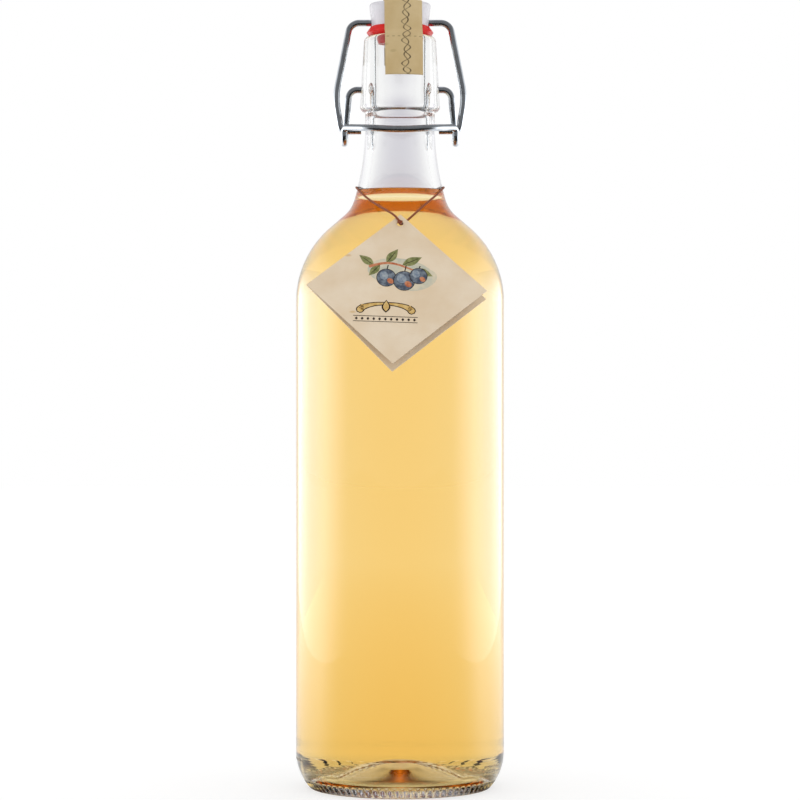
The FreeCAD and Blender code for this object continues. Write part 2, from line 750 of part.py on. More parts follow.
glass, drink = glass_and_drink()
head = stopper()
ring = seal_ring()
strip = seal_strip()
lever_wire = lever()
bail = head_bail()
tag = tag_card()
doc.recompute()
string = tag_string(tag)
knot = tag_knot(tag)
pieces = [glass, drink, head, ring, strip, lever_wire, bail, tag, string, knot]
doc.recompute()

for item in doc.Objects:
    faults = [s for s in item.State if s in ("Invalid", "Error")]
    if faults:
        raise RuntimeError(f"{item.Name} is {faults}")
for piece in pieces:
    if piece.Shape.isNull() or not piece.Shape.isValid():
        raise RuntimeError(f"{piece.Label} has no valid shape")
for name, (length, thickness) in lengths.items():
    solid = doc.getObject(name).Shape
    expected = length * math.pi * thickness**2 / 4
    print(f"{name}: {length:.1f} long, volume {solid.Volume / expected:.4f} of its section times length")

os.makedirs("parts", exist_ok=True)
for piece in pieces:
    piece.Shape.exportStep(f"parts/{piece.Label}.step")
    box = piece.Shape.BoundBox
    print(
        f"{piece.Label}: {len(piece.Shape.Solids)} solid, {piece.Shape.Volume / 1000:.2f} cm3,"
        f" x {box.XMin:.1f} {box.XMax:.1f} y {box.YMin:.1f} {box.YMax:.1f} z {box.ZMin:.1f} {box.ZMax:.1f}"
    )
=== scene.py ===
"""The looks of a swing-top bottle of plum brandy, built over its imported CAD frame.

Everything is in metres, +Z up and -Y the front. Millimetre sizes are turned by MM where they
are used.
"""

import logging
import math
from dataclasses import dataclass
from enum import Enum
from typing import Callable, Iterable, Sequence

import bmesh
import bpy
from mathutils import Euler, Matrix, Vector, noise

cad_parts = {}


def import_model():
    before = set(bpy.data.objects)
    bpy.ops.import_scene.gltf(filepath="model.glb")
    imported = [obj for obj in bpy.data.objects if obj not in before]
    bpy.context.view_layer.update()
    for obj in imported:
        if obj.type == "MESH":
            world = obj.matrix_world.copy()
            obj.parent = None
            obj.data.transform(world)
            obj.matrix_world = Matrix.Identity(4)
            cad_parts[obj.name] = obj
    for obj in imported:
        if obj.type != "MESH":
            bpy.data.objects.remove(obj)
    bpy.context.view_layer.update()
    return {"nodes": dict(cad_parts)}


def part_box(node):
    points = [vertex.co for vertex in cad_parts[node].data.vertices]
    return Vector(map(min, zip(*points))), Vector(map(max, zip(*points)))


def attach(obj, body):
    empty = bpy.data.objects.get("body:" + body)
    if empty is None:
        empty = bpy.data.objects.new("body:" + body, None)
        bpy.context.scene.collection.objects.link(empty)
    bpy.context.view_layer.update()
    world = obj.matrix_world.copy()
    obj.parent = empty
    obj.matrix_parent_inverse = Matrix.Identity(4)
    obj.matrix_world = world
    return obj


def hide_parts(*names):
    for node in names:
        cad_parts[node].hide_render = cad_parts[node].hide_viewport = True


LOG = logging.getLogger("bottle")

MM = 0.001
DECIMETRES = 10  # to a metre
BODY = "root"

Point2 = tuple[float, float]
Range = tuple[float, float]
Colour = tuple[float, float, float]
Socket = bpy.types.NodeSocket
Given = Socket | float | Sequence[float]

WHITE: Colour = (1.0, 1.0, 1.0)
BLACK: Colour = (0.0, 0.0, 0.0)
FRONT: Range = (0.15, -0.5)  # the way back where a mirror's front starts, and where it is full


# =============================================================================================
# Shapes
# =============================================================================================
@dataclass(frozen=True)
class Corner:
    """A corner of an outline, in millimetres: across, up, and the size of its round."""

    across: float
    up: float
    rounding: float = 0.0


@dataclass(frozen=True)
class Outline:
    """A chain of corners joined by straight sides, with round corners as arcs.

    Args:
        corners: the chain, from one end to the other.
        turn_step: the largest turn between two points of an arc, in degrees.
        longest: the longest straight piece, in millimetres.
    """

    corners: Sequence[Corner]
    turn_step: float = 2.5
    longest: float = 5.0

    def points(self) -> list[Point2]:
        """The chain's points, in millimetres.

        Returns:
            The points.
        """
        chain = [(self.corners[0].across, self.corners[0].up)]
        for before, here, after in zip(self.corners, self.corners[1:], self.corners[2:]):
            chain += self._round(before, here, after)
        chain.append((self.corners[-1].across, self.corners[-1].up))
        return self._divided(chain)

    def _round(self, before: Corner, here: Corner, after: Corner) -> list[Point2]:
        """The points of one corner's arc, or the corner itself where it is sharp.

        Args:
            before: the corner before it.
            here: the corner.
            after: the corner after it.

        Returns:
            The points.
        """
        corner = Vector((here.across, here.up))
        if not here.rounding:
            return [tuple(corner)]
        back = (Vector((before.across, before.up)) - corner).normalized()
        ahead = (Vector((after.across, after.up)) - corner).normalized()
        turn = math.pi - back.angle(ahead)
        centre = corner + (back + ahead).normalized() * here.rounding / math.cos(turn / 2)
        start = corner + back * here.rounding * math.tan(turn / 2) - centre
        sense = 1 if back.cross(ahead) < 0 else -1
        steps = max(2, math.ceil(math.degrees(turn) / self.turn_step))
        return [
            tuple(centre + Matrix.Rotation(sense * turn * i / steps, 2) @ start)
            for i in range(steps + 1)
        ]

    def _divided(self, chain: list[Point2]) -> list[Point2]:
        """The chain with its long straight pieces divided.

        Args:
            chain: the points so far.

        Returns:
            All the points.
        """
        divided = [chain[0]]
        for a, b in zip(chain, chain[1:]):
            divided += between(a, b, self.longest)
        return divided


def between(a: Point2, b: Point2, longest: float) -> list[Point2]:
    """The points that divide a straight piece, without its start and with its end.

    Args:
        a: its start.
        b: its end.
        longest: the longest piece, in the points' own unit.

    Returns:
        The points.
    """
    count = max(1, math.ceil(math.dist(a, b) / longest))
    shares = (i / count for i in range(1, count + 1))
    return [(a[0] + (b[0] - a[0]) * t, a[1] + (b[1] - a[1]) * t) for t in shares]


def smoothstep(t: float) -> float:
    """A smooth rise from 0 at t = 0 to 1 at t = 1."""
    t = min(1.0, max(0.0, t))
    return t * t * (3 - 2 * t)


def densified(chain: list[Point2], low: float, high: float, step: float) -> list[Point2]:
    """The chain with pieces between two heights divided to at most step, in millimetres.

    Args:
        chain: the points.
        low: the lower height.
        high: the upper height.
        step: the longest piece between them.

    Returns:
        All the points.
    """
    dense = [chain[0]]
    for a, b in zip(chain, chain[1:]):
        bottom, top = sorted((a[1], b[1]))
        inside = low < (bottom + top) / 2 < high or bottom < low and top > high
        dense += between(a, b, step) if inside else [b]
    return dense


def mesh_object(
    name: str, points: Iterable[Vector], faces: Iterable[Sequence[int]], smooth: bool = True
) -> bpy.types.Object:
    """A mesh object from points in metres.

    Args:
        name: the piece's name.
        points: the vertices.
        faces: the vertex numbers of each face.
        smooth: whether its faces are shaded smooth.

    Returns:
        The new object, linked to the scene.
    """
    mesh = bpy.data.meshes.new(name)
    mesh.from_pydata([tuple(p) for p in points], [], [tuple(f) for f in faces])
    mesh.update()
    mesh.shade_smooth() if smooth else mesh.shade_flat()
    piece = bpy.data.objects.new(name, mesh)
    bpy.context.scene.collection.objects.link(piece)
    return piece


def lathe(
    name: str,
    chain: Sequence[Point2],
    segments: int,
    shift: Callable[[float, float, float], Point2] | None = None,
    second_from: int | None = None,
) -> bpy.types.Object:
    """A piece turned about the vertical axis from a chain that starts and ends on it.

    Args:
        name: the piece's name.
        chain: (radius, height) points in millimetres.
        segments: how many steps go round.
        shift: gives the change in radius and height at a radius, height and turn, in millimetres.
        second_from: the point of the chain from which on the faces take the second material.

    Returns:
        The new object.
    """
    points: list[Vector] = [Vector((0, 0, chain[0][1])) * MM]
    for radius, height in chain[1:-1]:
        for i in range(segments):
            turn = 2 * math.pi * i / segments
            out, up = shift(radius, height, turn) if shift else (0.0, 0.0)
            r = radius + out
            points.append(Vector((r * math.sin(turn), -r * math.cos(turn), height + up)) * MM)
    points.append(Vector((0, 0, chain[-1][1])) * MM)
    faces: list[tuple[int, ...]] = []
    rings = len(chain) - 2
    for i in range(segments):
        j = (i + 1) % segments
        faces.append((0, 1 + j, 1 + i))
        last = 1 + (rings - 1) * segments
        faces.append((last + i, last + j, len(points) - 1))
        for k in range(rings - 1):
            row = 1 + k * segments
            faces.append((row + i, row + j, row + segments + j, row + segments + i))
    piece = mesh_object(name, points, faces)
    face_outward(piece)
    if second_from is not None:
        for polygon in piece.data.polygons:
            row = polygon.index % (rings + 1)
            is_second = row == 1 or row - 1 >= second_from
            polygon.material_index = int(is_second)
    return piece


def face_outward(piece: bpy.types.Object) -> None:
    """Turns a closed mesh's faces outward.

    Args:
        piece: the piece.
    """
    work = bmesh.new()
    work.from_mesh(piece.data)
    bmesh.ops.recalc_face_normals(work, faces=work.faces)
    work.to_mesh(piece.data)
    work.free()


def settle(piece: bpy.types.Object) -> None:
    """Applies all of a piece's modifiers to its mesh.

    Args:
        piece: the piece.
    """
    graph = bpy.context.evaluated_depsgraph_get()
    settled = bpy.data.meshes.new_from_object(piece.evaluated_get(graph))
    piece.modifiers.clear()
    piece.data = settled


def tube(
    name: str,
    path: Sequence[Vector],
    section: Callable[[float, float], float],
    around: int,
) -> bpy.types.Object:
    """A tube that follows a path in metres.

    Args:
        name: the piece's name.
        path: the centreline.
        section: gives the radius at a length along the path and a turn about it.
        around: how many steps go round the tube.

    Returns:
        The new object, with both its ends closed.
    """
    points: list[Vector] = []
    side = (path[1] - path[0]).orthogonal().normalized()
    length = 0.0
    for k, centre in enumerate(path):
        along = (path[min(k + 1, len(path) - 1)] - path[max(k - 1, 0)]).normalized()
        side = (side - along * side.dot(along)).normalized()
        other = along.cross(side)
        if k:
            length += (centre - path[k - 1]).length
        for i in range(around):
            turn = 2 * math.pi * i / around
            reach = section(length, turn)
            points.append(centre + (side * math.cos(turn) + other * math.sin(turn)) * reach)
    faces: list[tuple[int, ...]] = [tuple(range(around - 1, -1, -1))]
    for k in range(len(path) - 1):
        for i in range(around):
            j = (i + 1) % around
            row = k * around
            faces.append((row + i, row + j, row + around + j, row + around + i))
    last = (len(path) - 1) * around
    faces.append(tuple(range(last, last + around)))
    return mesh_object(name, points, faces)


# =============================================================================================
# Finishes
# =============================================================================================
def linear(red: int, green: int, blue: int) -> Colour:
    """A screen colour, 0 to 255, as the linear colour that the shaders use.

    Args:
        red: its red.
        green: its green.
        blue: its blue.

    Returns:
        The linear colour.
    """

    def one(level: int) -> float:
        """One channel's linear level."""
        share = level / 255
        return share / 12.92 if share <= 0.04045 else ((share + 0.055) / 1.055) ** 2.4

    return one(red), one(green), one(blue)


def dimmed(colour: Colour, share: float) -> Colour:
    """A colour with each channel at a share of itself."""
    return colour[0] * share, colour[1] * share, colour[2] * share


class Graph:
    """A node tree, written one node at a time."""

    def __init__(self, tree: bpy.types.NodeTree) -> None:
        """Starts from an empty tree."""
        self.tree = tree
        tree.nodes.clear()

    def node(self, kind: str, inputs: dict | None = None, **settings: object) -> bpy.types.Node:
        """Adds a node.

        Args:
            kind: the node's type name.
            inputs: what each input gets, a value or another node's output.
            settings: the node's own settings.

        Returns:
            The new node.
        """
        new = self.tree.nodes.new(kind)
        for key, setting in settings.items():
            setattr(new, key, setting)
        for key, given in (inputs or {}).items():
            self.give(new.inputs[key], given)
        return new

    def give(self, socket: Socket, given: Given) -> None:
        """Links a socket to another's output, or sets its value.

        Args:
            socket: the input.
            given: a value or another node's output.
        """
        if isinstance(given, bpy.types.NodeSocket):
            self.tree.links.new(given, socket)
        elif isinstance(given, tuple) and len(given) == 3 and socket.type == "RGBA":
            socket.default_value = (*given, 1)
        else:
            socket.default_value = given

    def math(self, operation: str, *values: Given) -> Socket:
        """One step of arithmetic.

        Args:
            operation: the step's name.
            values: what it works on.

        Returns:
            The result.
        """
        step = self.node("ShaderNodeMath", operation=operation)
        for socket, given in zip(step.inputs, values):
            self.give(socket, given)
        return step.outputs[0]

    def mix(self, share: Given, first: Given, second: Given) -> Socket:
        """A blend of two colours.

        Args:
            share: how much of the second.
            first: the first colour.
            second: the second colour.

        Returns:
            The blend.
        """
        step = self.node("ShaderNodeMix", data_type="RGBA")
        self.give(step.inputs[0], share)
        self.give(step.inputs[6], first)
        self.give(step.inputs[7], second)
        return step.outputs[2]

    def blend(self, share: Given, first: Given, second: Given) -> Socket:
        """A blend of two numbers."""
        return self.node("ShaderNodeMix", {0: share, 2: first, 3: second}).outputs[0]

    def level(
        self, share: Socket, low: float, high: float, to_low: float = 0.0, to_high: float = 1.0
    ) -> Socket:
        """A number moved from one range to another, and kept within it."""
        step = self.node("ShaderNodeMapRange", {0: share, 1: low, 2: high, 3: to_low, 4: to_high})
        return step.outputs[0]

    def smooth_level(self, share: Socket, low: float, high: float) -> Socket:
        """A number turned into a soft rise from 0 to 1 between two values, in either order.

        Args:
            share: the number.
            low: where it gives 0.
            high: where it gives 1.

        Returns:
            The share.
        """
        step = self.node("ShaderNodeMapRange", {0: share}, interpolation_type="SMOOTHSTEP")
        for socket, given in zip(step.inputs[1:5], (low, high, 0.0, 1.0)):
            socket.default_value = given
        return step.outputs[0]

    def place(self, scale: Sequence[float] = (1, 1, 1), source: str = "Object") -> Socket:
        """Where a point of the piece lies, scaled along each axis."""
        start = self.node("ShaderNodeTexCoord").outputs[source]
        return self.node("ShaderNodeMapping", {"Vector": start, "Scale": tuple(scale)}).outputs[0]

    def noise(self, where: Socket, scale: float, detail: float = 3.0) -> Socket:
        """Soft random variation from 0 to 1.

        Args:
            where: the place.
            scale: how close it lies.
            detail: how fine it gets.

        Returns:
            The variation.
        """
        return self.node(
            "ShaderNodeTexNoise",
            {"Vector": where, "Scale": scale, "Detail": detail, "Roughness": 0.55},
        ).outputs[0]

    def spots(self, where: Socket, scale: float, size: float) -> Socket:
        """Small spots, 1 at their middles and 0 between them."""
        cells = self.node("ShaderNodeTexVoronoi", {"Vector": where, "Scale": scale})
        return self.level(cells.outputs["Distance"], size, size * 0.5)

    def bump(self, height: Socket, strength: float, distance: float) -> Socket:
        """A surface relief from a height.

        Args:
            height: the relief.
            strength: how much of it shows.
            distance: its full height, in metres.

        Returns:
            The normal.
        """
        return self.node(
            "ShaderNodeBump", {"Height": height, "Strength": strength, "Distance": distance}
        ).outputs[0]

    def principled(self, **inputs: Given) -> bpy.types.Node:
        """The main shader; underscores in names stand for spaces."""
        named = {key.replace("_", " "): given for key, given in inputs.items()}
        return self.node("ShaderNodeBsdfPrincipled", named)


def seen(graph: Graph) -> Socket:
    """1 for what the camera sees, by itself or in metal and through glass, and 0 for light.

    Args:
        graph: the material's graph.

    Returns:
        The share.
    """
    rays = graph.node("ShaderNodeLightPath").outputs
    straight = graph.math("MAXIMUM", rays["Is Camera Ray"], rays["Is Glossy Ray"])
    shown = graph.math("MAXIMUM", straight, rays["Is Transmission Ray"])
    return graph.math("MULTIPLY", shown, graph.math("LESS_THAN", rays["Diffuse Depth"], 0.5))


def mirrored(graph: Graph) -> Socket:
    """1 for what a mirroring surface shows, and 0 for what is seen through glass or lights.

    Args:
        graph: the material's graph.

    Returns:
        The share.
    """
    rays = graph.node("ShaderNodeLightPath").outputs
    reflected = graph.math("SUBTRACT", rays["Is Glossy Ray"], rays["Is Transmission Ray"])
    return graph.math("MULTIPLY", seen(graph), reflected)


def new_material(name: str) -> tuple[bpy.types.Material, Graph]:
    """An empty node material and its graph.

    Args:
        name: its name.

    Returns:
        The material and its graph.
    """
    material = bpy.data.materials.new(name)
    material.use_nodes = True
    return material, Graph(material.node_tree)


def output(graph: Graph, surface: bpy.types.Node, volume: bpy.types.Node | None = None) -> None:
    """Sends the shaders to the material's output.

    Args:
        graph: the material's graph.
        surface: the surface's shader.
        volume: the inside's shader.
    """
    end = graph.node("ShaderNodeOutputMaterial", {"Surface": surface.outputs[0]})
    if volume:
        graph.give(end.inputs["Volume"], volume.outputs[0])


@dataclass(frozen=True)
class ClearGlass:
    """Flint glass with the faint waves of a blown bottle, greener where it is seen aslant.

    Args:
        name: the material's name.
        tint: what it lets through.
        edge: what it lets through where it is looked through aslant.
        aslant: where that starts and where it is full, from 0 straight on to 1 aslant.
        gloss: how much it mirrors, as the tint of its reflections.
        ior: how strongly it bends light.
        wave: the size of its waves, in metres.
        wave_scale: how close they lie, as a noise scale.
        haze: the roughness of its dullest places.
    """

    name: str = "clear_glass"
    tint: Colour = (0.995, 0.998, 0.995)
    edge: Colour = (0.66, 0.73, 0.70)
    aslant: Range = (0.8, 1.0)
    gloss: Colour = WHITE
    ior: float = 1.52
    wave: float = 0.00003
    wave_scale: float = 38.0
    haze: float = 0.012

    def build(self) -> bpy.types.Material:
        """Builds the material.

        Returns:
            The material.
        """
        material, graph = new_material(self.name)
        where = graph.place()
        waves = graph.noise(where, self.wave_scale, 2.0)
        facing = graph.node("ShaderNodeLayerWeight", {"Blend": 0.5}).outputs["Facing"]
        tint = graph.mix(waves, self.tint, dimmed(self.tint, 0.99))
        shader = graph.principled(
            Base_Color=graph.mix(graph.level(facing, *self.aslant), tint, self.edge),
            Roughness=graph.level(graph.noise(where, 160.0), 0.3, 0.8, 0.0, self.haze),
            IOR=self.ior,
            Transmission_Weight=1.0,
            Normal=graph.bump(waves, 0.5, self.wave),
        )
        shader.inputs["Specular Tint"].default_value = (*self.gloss, 1)
        output(graph, shader)
        return material


@dataclass(frozen=True)
class Brandy:
    """Clear golden brandy, deeper in colour where more of it is looked through.

    Only its top mirrors: where it wets the glass it has next to no reflection of its own.

    Args:
        top: where its top starts, in metres from the floor.
        top_blend: how far below that its walls stop mirroring.
        density: how strongly it absorbs, per metre.
        colour: what it lets through.
        surface: the faint change of its surface's tint.
        ior: how strongly it bends light.
    """

    top: float
    top_blend: float = 0.0002
    density: float = 24.5
    colour: Colour = (0.996, 0.79, 0.20)
    surface: Colour = (0.995, 0.99, 0.975)
    ior: float = 1.36

    def build(self) -> bpy.types.Material:
        """Builds the material.

        Returns:
            The material.
        """
        material, graph = new_material("golden_brandy")
        where = graph.place()
        height = graph.node("ShaderNodeSeparateXYZ", {0: where}).outputs[2]
        is_top = graph.level(height, self.top - self.top_blend, self.top)
        shader = graph.principled(
            Base_Color=graph.mix(graph.noise(where, 30.0, 2.0), WHITE, self.surface),
            Roughness=0.0,
            IOR=self.ior,
            Transmission_Weight=1.0,
            Specular_Tint=graph.mix(is_top, BLACK, WHITE),
        )
        volume = graph.node("ShaderNodeVolumeAbsorption")
        volume.inputs["Color"].default_value = (*self.colour, 1)
        volume.inputs["Density"].default_value = self.density
        output(graph, shader, volume)
        return material


@dataclass(frozen=True)
class Porcelain:
    """White glazed stopper with a soft gloss.

    Args:
        colour: its main colour.
        shade: its darker patches.
        roughness: of its smoothest and its dullest places.
        relief: the height of its unevenness, in metres.
        gloss: how strongly it mirrors.
        coat: the weight and roughness of its glaze.
        depth: how far light goes into it, in metres.
    """

    colour: Colour = linear(227, 225, 230)
    shade: Colour = linear(219, 217, 223)
    roughness: Range = (0.22, 0.34)
    relief: float = 0.0002
    gloss: float = 0.25
    coat: Range = (0.1, 0.12)
    depth: float = 0.002

    def build(self) -> bpy.types.Material:
        """Builds the material.

        Returns:
            The material.
        """
        material, graph = new_material("white_porcelain")
        where = graph.place()
        shader = graph.principled(
            Base_Color=graph.mix(graph.noise(where, 120.0), self.colour, self.shade),
            Roughness=graph.level(graph.noise(where, 300.0), 0.3, 0.7, *self.roughness),
            IOR=1.5,
            Normal=graph.bump(graph.noise(where, 260.0, 2.0), 0.12, self.relief),
        )
        shader.inputs["Specular IOR Level"].default_value = self.gloss
        shader.inputs["Coat Weight"].default_value = self.coat[0]
        shader.inputs["Coat Roughness"].default_value = self.coat[1]
        shader.inputs["Subsurface Weight"].default_value = 0.08
        shader.inputs["Subsurface Radius"].default_value = (self.depth,) * 3
        output(graph, shader)
        return material


@dataclass(frozen=True)
class RedRubber:
    """Smooth red rubber with a moulded bloom.

    Args:
        colour: its main colour.
        bloom: its paler patches.
        roughness: of the plain rubber and of the bloom.
        relief: the height of its grain, in metres.
        gloss: how strongly it mirrors.
    """

    colour: Colour = linear(230, 20, 16)
    bloom: Colour = linear(238, 58, 48)
    roughness: Range = (0.36, 0.52)
    relief: float = 0.0001
    gloss: float = 0.25

    def build(self) -> bpy.types.Material:
        """Builds the material.

        Returns:
            The material.
        """
        material, graph = new_material("red_rubber")
        where = graph.place()
        patch = graph.level(graph.noise(where, 420.0, 4.0), 0.45, 0.75)
        shader = graph.principled(
            Base_Color=graph.mix(patch, self.colour, self.bloom),
            Roughness=graph.level(patch, 0.0, 1.0, *self.roughness),
            IOR=1.5,
            Normal=graph.bump(graph.noise(where, 900.0), 0.25, self.relief),
        )
        shader.inputs["Specular IOR Level"].default_value = self.gloss
        output(graph, shader)
        return material


@dataclass(frozen=True)
class SteelWire:
    """Drawn and plated steel wire, with fine draw lines and a few dull patches.

    Args:
        colour: its bright plating.
        dull: its dull patches.
        roughness: of the bright and of the dull places.
        relief: the height of its draw lines, in metres.
    """

    colour: Colour = (0.60, 0.64, 0.69)
    dull: Colour = (0.46, 0.49, 0.53)
    roughness: Range = (0.2, 0.32)
    relief: float = 0.00003

    def build(self) -> bpy.types.Material:
        """Builds the material.

        Returns:
            The material.
        """
        material, graph = new_material("steel_wire")
        patch = graph.level(graph.noise(graph.place(), 240.0, 4.0), 0.45, 0.72)
        lines = graph.noise(graph.place((1, 1, 0.12)), 2600.0, 2.0)
        shader = graph.principled(
            Base_Color=graph.mix(patch, self.colour, self.dull),
            Metallic=1.0,
            Roughness=graph.level(patch, 0.0, 1.0, *self.roughness),
            Normal=graph.bump(lines, 0.06, self.relief),
        )
        output(graph, shader)
        return material


@dataclass(frozen=True)
class FleckedPaper:
    """Handmade paper: fibres, flecks and a soft unevenness of colour.

    Args:
        name: the material's name.
        colour: its main colour.
        shade: its darker patches.
        fleck: the colour of its flecks.
        fibre: how close its fibres lie, as a noise scale.
        roughness: of its smoothest and its dullest places.
        relief: the height of its grain, in metres.
        sheen: how much its fibres shine.
    """

    name: str
    colour: Colour
    shade: Colour
    fleck: Colour
    fibre: float = 900.0
    roughness: Range = (0.78, 0.92)
    relief: float = 0.00008
    sheen: float = 0.08

    def paper(self, graph: Graph) -> Socket:
        """The paper's colour.

        Args:
            graph: the material's graph.

        Returns:
            The colour.
        """
        cloud = graph.level(graph.noise(graph.place(), 70.0, 4.0), 0.35, 0.7)
        base = graph.mix(cloud, self.colour, self.shade)
        fibres = graph.noise(graph.place((0.35, 0.35, 1.6)), self.fibre, 3.0)
        base = graph.mix(graph.level(fibres, 0.62, 0.8, 0.0, 0.5), base, self.shade)
        flecks = graph.spots(graph.place((0.45, 1.0, 1.0)), 130.0, 0.1)
        return graph.mix(graph.math("MULTIPLY", flecks, 0.6), base, self.fleck)

    def finish(self, graph: Graph, colour: Socket) -> bpy.types.Node:
        """The paper's shader in a given colour.

        Args:
            graph: the material's graph.
            colour: the colour.

        Returns:
            The shader.
        """
        grain = graph.noise(graph.place(), self.fibre * 1.8, 4.0)
        shader = graph.principled(
            Base_Color=colour,
            Roughness=graph.level(grain, 0.3, 0.7, *self.roughness),
            IOR=1.4,
            Normal=graph.bump(grain, 0.35, self.relief),
        )
        shader.inputs["Sheen Weight"].default_value = self.sheen
        return shader

    def build(self) -> bpy.types.Material:
        """Builds the material.

        Returns:
            The material.
        """
        material, graph = new_material(self.name)
        output(graph, self.finish(graph, self.paper(graph)))
        return material


@dataclass(frozen=True)
class StripPaper(FleckedPaper):
    """The seal's paper, with a row of punched dashes across it and a drawn vine along it.

    Its texture place runs from 0 to 1 across the strip, and along it in decimetres from the
    front end.

    Args:
        row: where the dashes lie.
        dashes: how many fit across it.
        ink: the colour of the vine.
        vine: where the vine runs, across the strip.
        vine_swing: how far it swings to each side.
        vine_turn: how far it runs in one swing.
        vine_lag: how far its second line lags behind the first, in radians.
        vine_line: the half width of its lines, outside and inside their soft edges.
        vine_end: where it ends.
    """

    row: float = 0.155
    dashes: float = 7.0
    ink: Colour = linear(58, 44, 30)
    vine: float = 0.55
    vine_swing: float = 0.09
    vine_turn: float = 0.058
    vine_lag: float = 2.4
    vine_line: Range = (0.022, 0.012)
    vine_end: float = 0.45

    def stem(self, graph: Graph, across: Socket, along: Socket, lag: float) -> Socket:
        """One of the vine's two wavy lines.

        Args:
            graph: the material's graph.
            across: the place across the strip.
            along: the place along it.
            lag: how far it lags behind, in radians.

        Returns:
            1 on the line and 0 beside it.
        """
        turn = graph.math("MULTIPLY_ADD", along, math.tau / self.vine_turn, lag)
        slow = graph.math("SINE", graph.math("MULTIPLY_ADD", along, 2.3 / self.vine_turn, lag))
        reach = graph.math("MULTIPLY_ADD", slow, 0.4 * self.vine_swing, self.vine_swing)
        swing = graph.math("MULTIPLY", graph.math("SINE", turn), reach)
        off = graph.math("SUBTRACT", graph.math("SUBTRACT", across, self.vine), swing)
        return graph.level(graph.math("ABSOLUTE", off), *self.vine_line)

    def punched(self, graph: Graph, across: Socket, along: Socket) -> Socket:
        """The row of dashes.

        Args:
            graph: the material's graph.
            across: the place across the strip.
            along: the place along it.

        Returns:
            1 in a dash and 0 beside it.
        """
        beat = graph.math("FRACT", graph.math("MULTIPLY", across, self.dashes))
        off_dash = graph.math("ABSOLUTE", graph.math("SUBTRACT", beat, 0.5))
        off_row = graph.math("ABSOLUTE", graph.math("SUBTRACT", along, self.row))
        in_dash = graph.level(off_dash, 0.27, 0.2)
        return graph.math("MULTIPLY", in_dash, graph.level(off_row, 0.0024, 0.0014))

    def drawn(self, graph: Graph, across: Socket, along: Socket) -> Socket:
        """The vine, thin in places.

        Args:
            graph: the material's graph.
            across: the place across the strip.
            along: the place along it.

        Returns:
            How much ink there is.
        """
        stems = [self.stem(graph, across, along, lag) for lag in (0.0, self.vine_lag)]
        ends = graph.level(along, self.vine_end, self.vine_end - 0.01)
        thin = graph.level(graph.noise(graph.place(), 500.0), 0.35, 0.6, 0.55, 0.95)
        vine = graph.math("MULTIPLY", graph.math("MAXIMUM", *stems), ends)
        return graph.math("MULTIPLY", vine, thin)

    def build(self) -> bpy.types.Material:
        """Builds the material.

        Returns:
            The material.
        """
        material, graph = new_material(self.name)
        split = graph.node("ShaderNodeSeparateXYZ", {0: graph.place(source="UV")})
        across, along = split.outputs[0], split.outputs[1]
        dash = graph.math("MULTIPLY", self.punched(graph, across, along), 0.6)
        colour = graph.mix(dash, self.paper(graph), dimmed(self.shade, 0.45))
        colour = graph.mix(self.drawn(graph, across, along), colour, self.ink)
        output(graph, self.finish(graph, colour))
        return material


@dataclass(frozen=True)
class Ink:
    """Printed colour on paper, thin in places so that the paper shows through.

    Args:
        name: the material's name.
        colour: the ink.
        thin: what it is where it is thin.
        scale: how close its patches lie, as a noise scale.
        roughness: of the full and of the thin places.
    """

    name: str
    colour: Colour
    thin: Colour
    scale: float = 650.0
    roughness: Range = (0.68, 0.85)

    def build(self) -> bpy.types.Material:
        """Builds the material.

        Returns:
            The material.
        """
        material, graph = new_material(self.name)
        patch = graph.level(graph.noise(graph.place(), self.scale, 4.0), 0.38, 0.66)
        shader = graph.principled(
            Base_Color=graph.mix(patch, self.colour, self.thin),
            Roughness=graph.level(patch, 0.0, 1.0, *self.roughness),
            IOR=1.4,
        )
        output(graph, shader)
        return material


@dataclass(frozen=True)
class TwistedString:
    """Rust-brown twisted thread with lighter fibres.

    Args:
        colour: its main colour.
        light: its lighter fibres.
        roughness: of the dark and of the light places.
        relief: the height of its fibres, in metres.
        sheen: how much they shine.
    """

    colour: Colour = linear(128, 50, 8)
    light: Colour = linear(168, 88, 30)
    roughness: Range = (0.62, 0.82)
    relief: float = 0.00008
    sheen: float = 0.25

    def build(self) -> bpy.types.Material:
        """Builds the material.

        Returns:
            The material.
        """
        material, graph = new_material("brown_string")
        fibres = graph.level(graph.noise(graph.place(), 2600.0, 4.0), 0.4, 0.7)
        shader = graph.principled(
            Base_Color=graph.mix(fibres, self.colour, self.light),
            Roughness=graph.level(fibres, 0.0, 1.0, *self.roughness),
            IOR=1.45,
            Normal=graph.bump(fibres, 0.4, self.relief),
        )
        shader.inputs["Sheen Weight"].default_value = self.sheen
        output(graph, shader)
        return material


